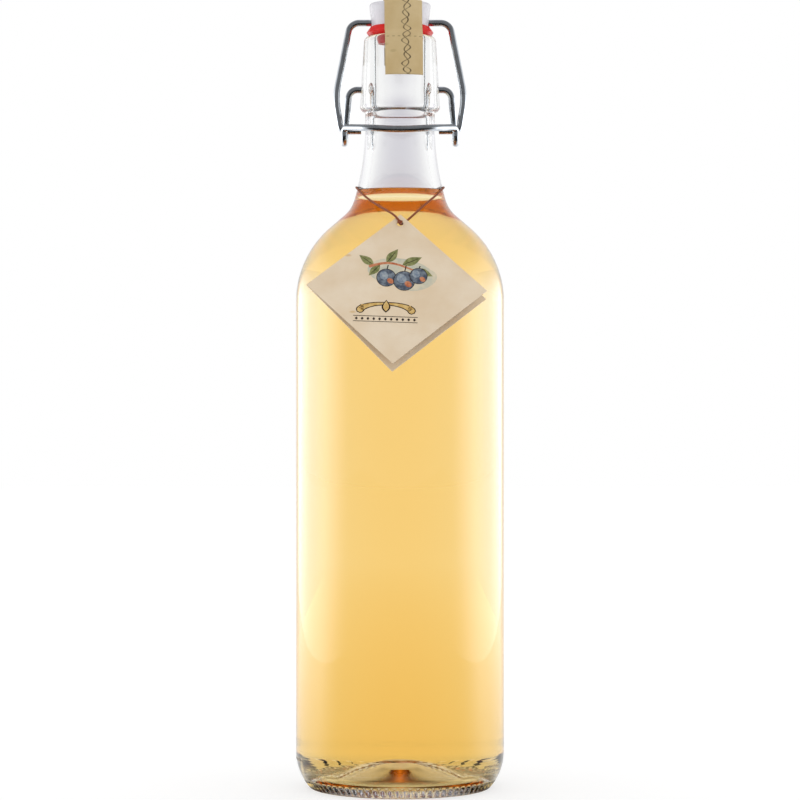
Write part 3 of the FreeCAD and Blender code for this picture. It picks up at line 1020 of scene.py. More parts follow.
@dataclass(frozen=True)
class StudioFloor:
    """A plain pale floor, white where it is looked at.

    Glass shows a painted amber glow on it near the bottle, in place of the light that comes through
    the brandy.

    Args:
        colour: how much light it sends back.
        shown: the same where it is looked at.
        glow: how much whiter it looks than it is lit.
        glow_in_glass: the same as glass shows it, under the bottle and far from it: a painted glow,
            a little dimmer under the bottle.
        amber: the colour of that painted glow under the bottle.
        reach: where the amber starts to fade and where it has gone, in metres from the middle.
        side_glow: how much brighter a mirror shows it beside the bottle, as painted light.
        side: where that is full, in metres from the middle.
        side_start: the way back where that starts and is full, from -1 in front to 1 behind.
        side_end: the way back where it has gone and where it is full still.
        dark: the colour that a mirror shows in front of the bottle.
    """

    colour: Colour = (0.8, 0.8, 0.8)
    shown: Colour = (0.4, 0.4, 0.4)
    glow: float = 0.66
    glow_in_glass: Range = (0.56, 0.65)
    amber: Colour = (1.0, 0.82, 0.34)
    reach: Range = (0.1, 1.6)
    side_glow: float = 0.9
    side: float = 0.6
    side_start: Range = (-0.6, 0.1)
    side_end: Range = (0.91, 0.78)
    dark: Colour = (0.02, 0.018, 0.016)

    def beside(self, graph: Graph, across: Socket, toward: Socket) -> Socket:
        """How much brighter a mirror shows the floor beside the bottle, as painted light.

        Args:
            graph: the material's graph.
            across: the place across the floor.
            toward: the way back from the bottle.

        Returns:
            The added glow.
        """
        share = graph.level(graph.math("ABSOLUTE", across), 0.0, self.side)
        for fade in (self.side_start, self.side_end):
            share = graph.math("MULTIPLY", share, graph.smooth_level(toward, *fade))
        mirror = mirrored(graph)
        return graph.math("MULTIPLY", graph.math("MULTIPLY", mirror, share), self.side_glow)

    def build(self) -> bpy.types.Material:
        """Builds the material.

        Returns:
            The material.
        """
        material, graph = new_material("studio_floor")
        where = graph.place()
        away = graph.node("ShaderNodeVectorMath", {0: where}, operation="LENGTH").outputs["Value"]
        split = graph.node("ShaderNodeSeparateXYZ", {0: where}).outputs
        toward = graph.math("DIVIDE", split[1], away)
        mirror, looked_at = mirrored(graph), seen(graph)
        direct = graph.node("ShaderNodeLightPath").outputs["Is Camera Ray"]
        in_front = graph.math("MULTIPLY", mirror, graph.smooth_level(toward, *FRONT))
        lit = graph.mix(graph.noise(where, 2.0, 2.0), self.colour, dimmed(self.colour, 0.99))
        pale = graph.mix(looked_at, lit, self.shown)
        # painted glow near and under the bottle: amber and a little dimmer there, as glass shows it
        spread = graph.level(away, *self.reach)
        in_glass = graph.level(spread, 0.0, 1.0, *self.glow_in_glass)
        glow = graph.blend(direct, in_glass, self.glow)
        # painted light on the floor beside the bottle, shown only in mirrors
        glow = graph.math("ADD", glow, self.beside(graph, split[0], toward))
        glow = graph.math("MULTIPLY", looked_at, glow)
        glow = graph.math("MULTIPLY", glow, graph.level(in_front, 1.0, 0.0))
        white = graph.math("MAXIMUM", graph.math("MAXIMUM", direct, mirror), spread)
        shader = graph.principled(
            Base_Color=graph.mix(in_front, pale, self.dark),
            Roughness=0.9,
            # amber where glass shows the painted glow near the bottle
            Emission_Color=graph.mix(white, self.amber, WHITE),
            Emission_Strength=glow,
        )
        shader.inputs["Specular IOR Level"].default_value = 0.1
        output(graph, shader)
        return material


# =============================================================================================
# Glass and drink
# =============================================================================================
@dataclass(frozen=True)
class BottleSizes:
    """The bottle's sizes in millimetres and degrees, from the floor up."""

    body_radius: float = 42.25
    body_height: float = 215.4
    wall: float = 3.4
    shoulder_slope: float = 49.4
    shoulder_round: float = 39.4
    heel_inset: float = 5.9
    heel_rise: float = 7.1
    heel_round: float = 21.0
    heel_round_inside: float = 13.0
    bearing_width: float = 1.8
    bearing_round: float = 1.8
    push_up_height: float = 7.4
    push_up_top_radius: float = 4.5
    push_up_foot_radius: float = 20.0
    push_up_foot_height: float = 1.6
    push_up_round: float = 7.0
    base_wall: float = 3.9
    neck_radius: float = 14.15
    neck_flare: float = 5.5
    neck_slope: float = 16.2
    neck_foot_round: float = 14.0
    neck_round: float = 104.0
    neck_length: float = 20.3
    bore_radius: float = 9.9
    bore_length: float = 28.5
    bore_foot_length: float = 5.5
    bore_foot_round: float = 9.0
    mouth_round: float = 0.7
    finish_height: float = 31.0
    bead_reach: float = 2.15
    bead_rise: float = 1.0
    bead_round: float = 2.2
    bead_root_round: float = 1.1
    taper: float = 1.8
    lip_round: float = 2.3
    fill_depth: float = 63.0
    pivot_drop: float = 21.7
    dimple_radius: float = 2.15
    dimple_depth: float = 3.0

    @property
    def foot(self) -> Point2:
        """The sharp corner where shoulder and neck meet.

        Returns:
            Its radius and height.
        """
        radius = self.neck_radius + self.neck_flare
        rise = (self.body_radius - radius) / math.tan(math.radians(self.shoulder_slope))
        return radius, self.body_height + rise

    @property
    def waist(self) -> float:
        """The height at which the neck's flare ends."""
        return self.foot[1] + self.neck_flare / math.tan(math.radians(self.neck_slope))

    @property
    def bead(self) -> float:
        """The height of the finish's underside."""
        return self.waist + self.neck_length

    @property
    def mouth(self) -> float:
        """The height of the mouth."""
        return self.bead + self.finish_height

    @property
    def level(self) -> float:
        """The height of the drink's surface."""
        return self.mouth - self.fill_depth

    @property
    def pivot(self) -> float:
        """The height of the dimples for the lever's ends."""
        return self.mouth - self.pivot_drop

    def inside(
        self, radius: float, height: float, below: float, above: float, wall: float
    ) -> Point2:
        """The inside corner that keeps a wall from an outside corner.

        Args:
            radius: the outside corner's radius.
            height: its height.
            below: the slope below it, in degrees from the vertical.
            above: the slope above it.
            wall: the wall's thickness.

        Returns:
            The inside corner's radius and height.
        """
        middle = math.radians((below + above) / 2)
        reach = wall / math.cos(math.radians((above - below) / 2))
        return radius - reach * math.cos(middle), height - reach * math.sin(middle)

    def outer(self) -> list[Corner]:
        """The outside, from the middle of the base to the mouth.

        Returns:
            The corners.
        """
        ring = self.body_radius - self.heel_inset
        bead = self.neck_radius + self.bead_reach
        return [
            Corner(0, self.push_up_height),
            Corner(self.push_up_top_radius, self.push_up_height, self.push_up_round),
            Corner(self.push_up_foot_radius, self.push_up_foot_height, self.push_up_round),
            Corner(ring - self.bearing_width, 0, 0.4),
            Corner(ring, 0, self.bearing_round),
            Corner(self.body_radius, self.heel_rise, self.heel_round),
            Corner(self.body_radius, self.body_height, self.shoulder_round),
            Corner(*self.foot, self.neck_foot_round),
            Corner(self.neck_radius, self.waist, self.neck_round),
            Corner(self.neck_radius, self.bead, self.bead_root_round),
            Corner(bead, self.bead + self.bead_rise, self.bead_round),
            Corner(bead - self.taper, self.mouth, self.lip_round),
        ]

    def inner(self, wall: float) -> list[Corner]:
        """The inside, from the mouth down to the middle of the floor.

        Args:
            wall: the body's wall, in millimetres.

        Returns:
            The corners.
        """
        grown = self.wall - wall
        shoulder = self.inside(self.body_radius, self.body_height, 0, self.shoulder_slope, wall)
        foot = self.inside(*self.foot, self.shoulder_slope, self.neck_slope, wall)
        waist = self.inside(self.neck_radius, self.waist, self.neck_slope, 0, wall)
        bore_foot = self.mouth - self.bore_length
        floor = self.base_wall - grown
        ring_inside = self.push_up_foot_height + floor
        return [
            Corner(self.bore_radius + self.mouth_round, self.mouth, 0.5),
            Corner(self.bore_radius, self.mouth - self.mouth_round, 0.5),
            Corner(self.bore_radius, bore_foot, self.bore_foot_round),
            Corner(
                self.neck_radius - wall, bore_foot - self.bore_foot_length, self.bore_foot_round
            ),
            Corner(*waist, self.neck_round + wall),
            Corner(*foot, self.neck_foot_round + wall),
            Corner(*shoulder, self.shoulder_round - wall),
            Corner(self.body_radius - wall, ring_inside, self.heel_round_inside),
            Corner(self.push_up_foot_radius, ring_inside, self.push_up_round),
            Corner(self.push_up_top_radius, self.push_up_height + floor, self.push_up_round),
            Corner(0, self.push_up_height + floor),
        ]


@dataclass(frozen=True)
class DotCode:
    """A block of small raised dots that the mould leaves on the heel.

    Args:
        turn: where its first column is, in degrees clockwise from the front.
        height: the height of its lowest row, in millimetres.
        columns: how many columns it has.
        rows: how many rows it has.
        radius: of each dot, in millimetres.
        relief: how far each stands out.
        pitch: between its columns, in degrees.
        row_pitch: between its rows, in millimetres.
    """

    turn: float
    height: float
    columns: int
    rows: int
    radius: float
    relief: float
    pitch: float = 3.2
    row_pitch: float = 2.2

    def lift(self, turn: float, height: float, body_radius: float) -> float:
        """How far the dots raise the glass at a turn in degrees and a height.

        Args:
            turn: clockwise from the front.
            height: over the floor, in millimetres.
            body_radius: the body's radius.

        Returns:
            The lift in millimetres.
        """
        column = round((turn - self.turn) / self.pitch)
        row = round((height - self.height) / self.row_pitch)
        if not (0 <= column < self.columns and 0 <= row < self.rows):
            return 0.0
        across = math.radians(turn - self.turn - column * self.pitch) * body_radius
        away = math.hypot(across, height - self.height - row * self.row_pitch)
        return self.relief * smoothstep(1.3 * (1 - away / self.radius))


WET_GLASS = ClearGlass("wet_glass", edge=(0.97, 0.985, 0.975), gloss=BLACK)


@dataclass(frozen=True)
class GlassBottle:
    """The bottle's glass: body, neck and finish, with a knurled bearing ring and mould dots.

    Sizes are in millimetres.

    Args:
        sizes: the bottle's sizes.
        segments: how many steps go round.
        knurls: how many nicks go round the bearing ring.
        knurl_depth: how deep they are.
        knurl_reach: how high they reach.
        knurl_foot: the height in which they start.
        knurl_fade: the height in which they end.
        knurl_slant: how far they turn per millimetre of height, in radians of one nick.
        knurl_edge: how steep their sides are.
        knurl_wear: how much of their depth is worn off at the back.
        knurl_way: how much of their depth goes inward, and how much of it upward.
        knurl_margin: how far inside the bearing ring they still count.
        mouth_margin: how far outside the bore's mouth the relief starts.
        dot_margin: how far under the body's outside the dots still count.
        heel_top: up to where the outside is finely divided for the dots.
        heel_step: its longest piece there.
        dimple_edge: the width in which the wall turns into a dimple.
        dimple_band: how far from the dimples' middle the outside is finely divided.
        dimple_step: its longest piece there.
        lip_start: how far over the dimples the outside's chain passes to the inside's.
        dots: the blocks of mould dots.
    """

    sizes: BottleSizes
    segments: int = 576
    knurls: int = 80
    knurl_depth: float = 1.2
    knurl_reach: float = 4.4
    knurl_foot: float = 1.2
    knurl_fade: float = 1.6
    knurl_slant: float = 0.35
    knurl_edge: float = 0.9
    knurl_wear: float = 0.7
    knurl_way: Range = (0.8, 0.5)
    knurl_margin: float = 0.6
    mouth_margin: float = 0.2
    dot_margin: float = 3.7
    heel_top: float = 16.0
    heel_step: float = 0.45
    dimple_edge: float = 0.5
    dimple_band: float = 3.2
    dimple_step: float = 0.3
    lip_start: float = 6.0
    dots: tuple[DotCode, ...] = (
        DotCode(turn=-77.0, height=8.4, columns=8, rows=2, relief=0.12, radius=0.6),
        DotCode(turn=69.0, height=12.6, columns=5, rows=1, relief=0.3, radius=0.7),
    )

    def relief(self, radius: float, height: float, turn: float) -> Point2:
        """What knurls, dots and dimples do to the outside at one place.

        Args:
            radius: the place's radius.
            height: its height.
            turn: its turn from the front, in radians.

        Returns:
            The change in radius and in height.
        """
        s = self.sizes
        ring = s.body_radius - s.heel_inset - s.bearing_width
        if radius < s.bore_radius + s.mouth_round + self.mouth_margin:
            return 0.0, 0.0
        if height < self.knurl_reach and radius > ring - self.knurl_margin:
            return self.knurl(height, turn)
        degrees = (math.degrees(turn) + 180) % 360 - 180
        out = -self.dimple(radius, height, degrees)
        if height < self.heel_top and radius > s.body_radius - self.dot_margin:
            out += sum(dots.lift(-degrees, height, s.body_radius) for dots in self.dots)
        return out, 0.0

    def knurl(self, height: float, turn: float) -> Point2:
        """The slanted nicks round the bearing ring, which leave its foot flat on the floor.

        Args:
            height: the place's height.
            turn: its turn from the front, in radians.

        Returns:
            The change in radius and in height.
        """
        rise = smoothstep(height / self.knurl_foot)
        rise *= smoothstep((self.knurl_reach - height) / self.knurl_fade)
        beat = math.cos(self.knurls * turn + self.knurl_slant * height)
        depth = self.knurl_depth * rise * smoothstep(0.5 + self.knurl_edge * beat)
        depth *= 1 - self.knurl_wear * smoothstep(0.5 - math.cos(turn))
        inward, upward = self.knurl_way
        return -depth * inward, depth * upward

    def dimple(self, radius: float, height: float, degrees: float) -> float:
        """How deep the dimples for the lever's ends are at one place.

        Args:
            radius: the place's radius.
            height: its height.
            degrees: its turn from the front.

        Returns:
            The depth.
        """
        s = self.sizes
        off = height - s.pivot
        if abs(off) > self.dimple_band or radius <= s.neck_radius:
            return 0.0
        across = math.radians(abs(degrees) - 90) * radius
        inside = s.dimple_radius + self.dimple_edge / 2 - math.hypot(across, off)
        return s.dimple_depth * smoothstep(inside / self.dimple_edge)

    def chain(self) -> tuple[list[Point2], int]:
        """The whole outline, and the point in it where the drink's level is.

        Returns:
            The points, and the first one under the level inside.
        """
        s = self.sizes
        outside = densified(Outline(s.outer()).points()[:-1], -1.0, self.heel_top, self.heel_step)
        band = (s.pivot - self.dimple_band, s.pivot + self.dimple_band)
        outside = densified(outside, *band, self.dimple_step)
        rest = Outline(s.outer()[-3:] + s.inner(s.wall)).points()
        lip = next(i for i, p in enumerate(rest) if p[1] > s.pivot + self.lip_start)
        outside = [p for p in outside if p[1] <= rest[lip][1]]
        chain = outside + rest[lip:]
        wet = next(i for i, p in enumerate(chain) if i > len(outside) and p[1] < s.level)
        return chain, wet

    def build(self) -> bpy.types.Object:
        """Builds the glass as one closed shell.

        Returns:
            The glass.
        """
        chain, wet = self.chain()
        piece = lathe("bottle_glass", chain, self.segments, self.relief, wet)
        piece.data.materials.append(ClearGlass().build())
        piece.data.materials.append(WET_GLASS.build())
        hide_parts("glass_bottle")
        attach(piece, BODY)
        return piece


@dataclass(frozen=True)
class Drink:
    """The brandy, which reaches just into the glass all round and climbs it at its rim.

    Args:
        sizes: the bottle's sizes.
        segments: how many steps go round.
        bite: how far it reaches into the glass, in millimetres.
        climb: how high its rim climbs the glass.
        climb_width: how far from the glass the climb starts.
        climb_power: how steeply it ends.
        climb_steps: how many steps it has.
        sink: how far the middle lies under the drink's level.
        mirror_depth: how far under the middle its surface stops mirroring.
    """

    sizes: BottleSizes
    segments: int = 288
    bite: float = 0.15
    climb: float = 1.2
    climb_width: float = 2.6
    climb_power: float = 2.4
    climb_steps: int = 10
    sink: float = 0.9
    mirror_depth: float = 0.3

    @property
    def rest(self) -> float:
        """The height of the middle of its top, in millimetres."""
        return self.sizes.level - self.sink

    def chain(self) -> list[Point2]:
        """The drink's outline, from the middle of its top to the middle of its foot.

        Returns:
            The points.
        """
        s = self.sizes
        walls = Outline(s.inner(s.wall - self.bite)[3:]).points()
        rim = self.rest + self.climb
        below = [p for p in walls if p[1] < rim]
        lean = math.tan(math.radians(s.neck_slope / 2))
        edge = below[0][0] - (rim - below[0][1]) * lean
        top = [(0.0, self.rest)]
        for step in range(self.climb_steps, -1, -1):
            t = step / self.climb_steps
            rise = self.climb * (1 - t) ** self.climb_power
            top.append((edge - self.climb_width * t, self.rest + rise))
        return top + below

    def build(self) -> bpy.types.Object:
        """Builds the drink as one closed solid.

        Returns:
            The drink.
        """
        piece = lathe("brandy", self.chain(), self.segments)
        top = (self.rest - self.mirror_depth) * MM
        piece.data.materials.append(Brandy(top).build())
        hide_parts("plum_brandy")
        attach(piece, BODY)
        return piece


# =============================================================================================
# Closure
# =============================================================================================
@dataclass(frozen=True)
class Closure:
    """The stopper, its ring and the two wires, whose solids are dressed as they stand.

    Args:
        finishes: the finish of each of them.
    """

    finishes: tuple[tuple[str, Porcelain | RedRubber | SteelWire], ...] = (
        ("stopper", Porcelain()),
        ("seal_ring", RedRubber()),
        ("lever", SteelWire()),
        ("head_bail", SteelWire()),
    )

    def dress(self, nodes: dict[str, bpy.types.Object]) -> None:
        """Gives each solid its finish.

        Args:
            nodes: the frame's nodes by name.
        """
        built: dict[type, bpy.types.Material] = {}
        for name, finish in self.finishes:
            if type(finish) not in built:
                built[type(finish)] = finish.build()
            for slot in nodes[name].material_slots:
                slot.material = built[type(finish)]
            LOG.info("dressed %s", name)


@dataclass(frozen=True)
class SealStrip:
    """The paper strip, glued down the front of the glass, over the stopper and down the back.

    Args:
        sizes: the bottle's sizes.
        head_top: the height of the stopper's top, in millimetres.
        width: across the strip.
        thickness: of the paper.
        clearance: from what it lies on.
        turn: how far it is turned from the front, in degrees.
        length: down the front of the glass from the mouth.
        back_length: down its back.
        head_radius: of the stopper's head at its top.
        head_crown: how far the head's rim lies under its top.
        head_round: of the strip over that rim.
        ring_radius: of the rubber ring.
        ring_rise: how far over the mouth the strip leaves the ring.
        ripple: how far the paper stands off in places.
        ripple_scale: how close its ripples lie, as a noise scale.
        columns: how many steps go across.
        over_steps: how many steps go over the top.
        over_margin: how far outside its own half width the steps over the top start.
    """

    sizes: BottleSizes
    head_top: float
    width: float = 15.2
    thickness: float = 0.25
    clearance: float = 0.1
    turn: float = 7.0
    length: float = 17.0
    back_length: float = 11.5
    head_radius: float = 12.6
    head_crown: float = 0.6
    head_round: float = 1.1
    ring_radius: float = 13.6
    ring_rise: float = 1.5
    ripple: float = 0.12
    ripple_scale: float = 0.22
    columns: int = 24
    over_steps: int = 16
    over_margin: float = 0.4

    def side(self) -> list[Point2]:
        """The side of the cap that the strip follows, from its end up to the middle.

        Returns:
            The points, as radius and height.
        """
        s = self.sizes
        gap = self.clearance + self.thickness / 2
        lip = s.neck_radius + s.bead_reach - s.taper
        slant = s.taper / (s.finish_height - s.bead_rise)
        rim = self.head_top - self.head_crown
        corners = [
            Corner(lip + self.length * slant + gap, s.mouth - self.length),
            Corner(lip + gap, s.mouth + gap, s.lip_round),
            Corner(self.ring_radius + gap, s.mouth + self.ring_rise, s.lip_round),
            Corner(self.head_radius + gap, rim + gap, self.head_round),
            Corner(0, self.head_top + gap),
        ]
        return Outline(corners, turn_step=8, longest=0.7).points()

    def rows(self) -> list[list[Vector]]:
        """The strip's rows of points: up the front, over the top and down the back.

        Returns:
            The rows, in millimetres.
        """
        side = self.side()
        front: list[list[Vector]] = []
        for radius, height in side:
            if radius <= self.width / 2 + self.over_margin:
                break
            row = []
            for i in range(self.columns + 1):
                across = self.width * (i / self.columns - 0.5)
                row.append(Vector((across, -math.sqrt(radius**2 - across**2), height)))
            front.append(row)
        top, last = side[-1][1], front[-1]
        slope = (last[0].z - top) / math.hypot(last[0].x, last[0].y)
        over: list[list[Vector]] = []
        for k in range(1, self.over_steps):
            share = 1 - 2 * k / self.over_steps
            places = [(p.x, p.y * share) for p in last]
            over.append([Vector((x, y, top + slope * math.hypot(x, y))) for x, y in places])
        foot = self.sizes.mouth - self.back_length
        back = [
            [Vector((p.x, -p.y, p.z)) for p in row] for row in front[::-1] if row[0].z >= foot
        ]
        return front + over + back

    def rippled(self, p: Vector) -> Vector:
        """A point of the strip with its ripple, turned to its place, in metres.

        Args:
            p: the point, in millimetres.

        Returns:
            Its place.
        """
        away = Vector((p.x, p.y, 0)).normalized()
        swell = self.ripple * max(0.0, noise.noise(p * self.ripple_scale + Vector((3, 1, 7))))
        return Matrix.Rotation(math.radians(self.turn), 3, "Z") @ (p + away * swell) * MM

    def build(self) -> bpy.types.Object:
        """Builds the strip as one thick sheet, with its length and width as its texture place.

        Returns:
            The strip.
        """
        rows = self.rows()
        wide = self.columns + 1
        faces = [
            (k * wide + i, k * wide + i + 1, (k + 1) * wide + i + 1, (k + 1) * wide + i)
            for k in range(len(rows) - 1)
            for i in range(self.columns)
        ]
        piece = mesh_object("paper_seal", [self.rippled(p) for row in rows for p in row], faces)
        middle = self.columns // 2
        run = [0.0]
        for here, after in zip(rows, rows[1:]):
            run.append(run[-1] + (after[middle] - here[middle]).length)
        layer = piece.data.uv_layers.new(name="strip")
        for loop in piece.data.loops:
            row, column = divmod(loop.vertex_index, wide)
            layer.data[loop.index].uv = (column / self.columns, run[row] * MM * DECIMETRES)
        thick = piece.modifiers.new("paper", "SOLIDIFY")
        thick.thickness = self.thickness * MM
        thick.offset = 0
        settle(piece)
        colours = (linear(214, 191, 146), linear(199, 172, 122), linear(184, 162, 116))
        piece.data.materials.append(StripPaper("seal_paper", *colours).build())
        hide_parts("seal_strip")
        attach(piece, BODY)
        return piece


# =============================================================================================
# Tag, its print and its string
# =============================================================================================
class Pigment(Enum):
    """The inks of the tag's print."""

    WASH = Ink("ink_wash", linear(196, 196, 178), linear(226, 212, 184), 260.0)
    SLATE = Ink("ink_slate", linear(74, 82, 98), linear(128, 138, 148))
    BLOOM = Ink("ink_bloom", linear(120, 134, 152), linear(168, 176, 180))
    OLIVE = Ink("ink_olive", linear(112, 118, 66), linear(158, 158, 106))
    TERRACOTTA = Ink("ink_terracotta", linear(186, 100, 62), linear(214, 150, 112))
    OCHRE = Ink("ink_ochre", linear(206, 164, 88), linear(228, 196, 130))
    DARK = Ink("ink_dark", linear(44, 30, 20), linear(66, 48, 34))


Shape = tuple[Pigment, list[Point2]]


def oval(across: float, up: float, wide: float, tall: float, lean: float = 0.0) -> list[Point2]:
    """An oval's outline, in millimetres.

    Args:
        across: its middle's place along the print.
        up: its middle's place up the print.
        wide: its half width.
        tall: its half height.
        lean: how far it is turned, in degrees.

    Returns:
        Its points.
    """
    c, s = math.cos(math.radians(lean)), math.sin(math.radians(lean))
    turns = (math.tau * i / 28 for i in range(28))
    ring = ((wide * math.cos(t), tall * math.sin(t)) for t in turns)
    return [(across + x * c - y * s, up + x * s + y * c) for x, y in ring]


def leaf(across: float, up: float, length: float, width: float, lean: float) -> list[Point2]:
    """A pointed leaf's outline from its stalk, in millimetres and degrees.

    Args:
        across: its stalk's place along the print.
        up: its stalk's place up the print.
        length: from stalk to tip.
        width: about half of its width.
        lean: how far it is turned.

    Returns:
        Its points.
    """
    c, s = math.cos(math.radians(lean)), math.sin(math.radians(lean))
    shares = [i / 10 for i in range(11)]
    upper = [(length * t, width * math.sin(math.pi * t) * (1.15 - 0.5 * t)) for t in shares]
    ring = upper + [(x, -y) for x, y in upper[-2:0:-1]]
    return [(across + x * c - y * s, up + x * s + y * c) for x, y in ring]


def stroke(path: Sequence[Point2], widths: Sequence[float]) -> list[Point2]:
    """The outline of a pen stroke along a path, with a half width at each of its points.

    Args:
        path: the points.
        widths: the half widths.

    Returns:
        Its points.
    """
    left, right = [], []
    for i, (x, y) in enumerate(path):
        ahead = path[min(i + 1, len(path) - 1)]
        behind = path[max(i - 1, 0)]
        along = Vector((ahead[0] - behind[0], ahead[1] - behind[1])).normalized()
        left.append((x - along.y * widths[i], y + along.x * widths[i]))
        right.append((x + along.y * widths[i], y - along.x * widths[i]))
    return left + right[::-1]


@dataclass(frozen=True)
class TagPrint:
    """A generic print of a plum sprig over a scrolled ornament.

    Args:
        scale: how much larger than its drawing it is printed.
    """

    scale: float = 1.25

    def shapes(self) -> list[Shape]:
        """Every shape of the print, from the lowest to the topmost."""
        shapes = self.wash() + self.sprig() + self.scroll() + self.rules()
        return [(ink, [(x * self.scale, y * self.scale) for x, y in ring]) for ink, ring in shapes]

    def wash(self) -> list[Shape]:
        """Soft patches of colour behind the sprig.

        Returns:
            The shapes.
        """
        return [
            (Pigment.WASH, oval(1.0, 5.6, 10.5, 5.4, -8)),
            (Pigment.WASH, oval(6.4, 3.2, 6.2, 4.0, 20)),
        ]

    def sprig(self) -> list[Shape]:
        """A twig with three plums and its leaves.

        Returns:
            The shapes.
        """
        shapes: list[Shape] = []
        twig = [(-9.0 + 1.9 * i, 7.6 + 1.6 * math.sin(0.5 * i)) for i in range(10)]
        for across, up, length, width, lean in (
            (-7.5, 8.2, 6.0, 1.5, 142),
            (-3.6, 9.2, 6.4, 1.6, 58),
            (1.4, 8.6, 6.8, 1.7, 28),
            (-5.6, 8.4, 5.4, 1.4, -128),
            (5.4, 7.2, 6.2, 1.5, -24),
        ):
            shapes.append((Pigment.OLIVE, leaf(across, up, length, width, lean)))
            shapes.append((Pigment.DARK, leaf(across, up, length * 0.9, 0.13, lean)))
        shapes.append((Pigment.TERRACOTTA, stroke(twig, [0.5 - 0.03 * i for i in range(10)])))
        for across, up, size in ((-3.4, 3.6, 2.9), (2.2, 2.6, 3.2), (6.6, 4.6, 2.6)):
            stalk = stroke([(across, up + size), (across + 0.4, 8.4)], [0.17, 0.17])
            bloom = oval(across - 0.8, up + 0.8, size * 0.45, size * 0.55, 20)
            blush = oval(across + 1.3, up - 1.2, size * 0.3, size * 0.4, 40)
            shapes += [
                (Pigment.DARK, stalk),
                (Pigment.DARK, oval(across, up, size + 0.22, size * 1.1 + 0.22, 10)),
                (Pigment.SLATE, oval(across, up, size, size * 1.1, 10)),
                (Pigment.BLOOM, bloom),
                (Pigment.TERRACOTTA, blush),
            ]
        return shapes

    def scroll(self) -> list[Shape]:
        """A gold scroll with a dark edge: two mirrored spirals from a small leaf.

        Returns:
            The shapes.
        """
        shapes: list[Shape] = []
        for side in (-1, 1):
            path, widths = [], []
            for i in range(34):
                t = i / 33
                turn = 4.6 * t
                reach = 3.1 * (1 - 0.62 * t)
                across = side * (8.6 - 8.6 * (1 - t) ** 2 + reach * math.sin(turn)) - 3.0
                path.append((across, -6.6 + 0.75 * reach * math.cos(turn) - 2.0 * (1 - t)))
                widths.append(0.34 + 0.62 * math.sin(math.pi * t) ** 1.5)
            shapes.append((Pigment.DARK, stroke(path, [w + 0.3 for w in widths])))
            shapes.append((Pigment.OCHRE, stroke(path, widths)))
        shapes.append((Pigment.DARK, leaf(-3.0, -9.6, 4.8, 1.5, 90)))
        shapes.append((Pigment.OCHRE, leaf(-3.0, -9.1, 3.9, 1.0, 90)))
        return shapes

    def rules(self) -> list[Shape]:
        """Two thin lines with a row of lozenges between them.

        Returns:
            The shapes.
        """
        shapes: list[Shape] = []
        for up in (-11.0, -13.0):
            shapes.append((Pigment.DARK, stroke([(-13.0, up), (7.0, up)], [0.1, 0.1])))
        for i in range(11):
            across = -12.0 + 1.8 * i
            lozenge = [(across - 0.45, -12), (across, -12.6), (across + 0.45, -12), (across, -11.4)]
            shapes.append((Pigment.DARK, lozenge))
        return shapes


@dataclass(frozen=True)
class FoldedTag:
    """The folded square card that hangs from its top corner, and the print on its front leaf.

    Args:
        side: of each square leaf, in millimetres.
        thickness: of the card.
        lean: how far the front leaf leans back from the vertical, in degrees.
        roll: how far the tag hangs from straight.
        top: where the leaf's top corner hangs, in millimetres.
        print_lift: how far the lowest ink stands off the card.
        layer_lift: how far each ink stands off the one before.
    """

    side: float = 49.7
    thickness: float = 0.4
    lean: float = 32.4
    roll: float = -2.4
    top: tuple[float, float, float] = (0.2, -30.87, 230.5)
    print_lift: float = 0.03
    layer_lift: float = 0.0012

    def place(self) -> Matrix:
        """The way from the front leaf's own frame, with its fold along X, to the bottle's.

        Returns:
            The transform.
        """
        corner_down = Matrix.Rotation(math.radians(-135 + self.roll), 4, "Z")
        stand_up = Matrix.Rotation(math.radians(90 - self.lean), 4, "X")
        return Matrix.Translation(Vector(self.top) * MM) @ stand_up @ corner_down

    def printed(self, art: TagPrint) -> bpy.types.Object:
        """The print, as thin shapes just proud of the front leaf.

        Args:
            art: what is printed.

        Returns:
            One piece that holds every shape.
        """
        middle = self.side / 2
        points: list[Vector] = []
        faces: list[list[int]] = []
        inks: list[int] = []
        pigments = list(Pigment)
        half_turn = math.sqrt(0.5)
        for layer, (pigment, outline) in enumerate(art.shapes()):
            lift = self.thickness + self.print_lift + self.layer_lift * layer
            start = len(points)
            for along, up in outline:
                across, down = (-along - up) * half_turn, (along - up) * half_turn
                points.append(Vector((middle + across, middle + down, lift)) * MM)
            faces.append(list(range(start, len(points))))
            inks.append(pigments.index(pigment))
        piece = mesh_object("tag_print", points, faces, smooth=False)
        for pigment in pigments:
            piece.data.materials.append(pigment.value.build())
        for polygon, ink in zip(piece.data.polygons, inks):
            polygon.material_index = ink
        work = bmesh.new()
        work.from_mesh(piece.data)
        bmesh.ops.triangulate(work, faces=work.faces)
        for face in work.faces:
            if face.normal.z < 0:
                face.normal_flip()
        work.to_mesh(piece.data)
        work.free()
        piece.data.transform(self.place())
        return piece

    def build(self, card: bpy.types.Object) -> list[bpy.types.Object]:
        """Dresses the card and prints on it.

        Args:
            card: the frame's card, which stays as it is.

        Returns:
            The card and its print.
        """
        colours = (linear(240, 222, 196), linear(231, 208, 176), linear(214, 176, 112))
        paper = FleckedPaper("tag_paper", *colours).build()
        for slot in card.material_slots:
            slot.material = paper
        art = self.printed(TagPrint())
        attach(art, BODY)
        return [card, art]


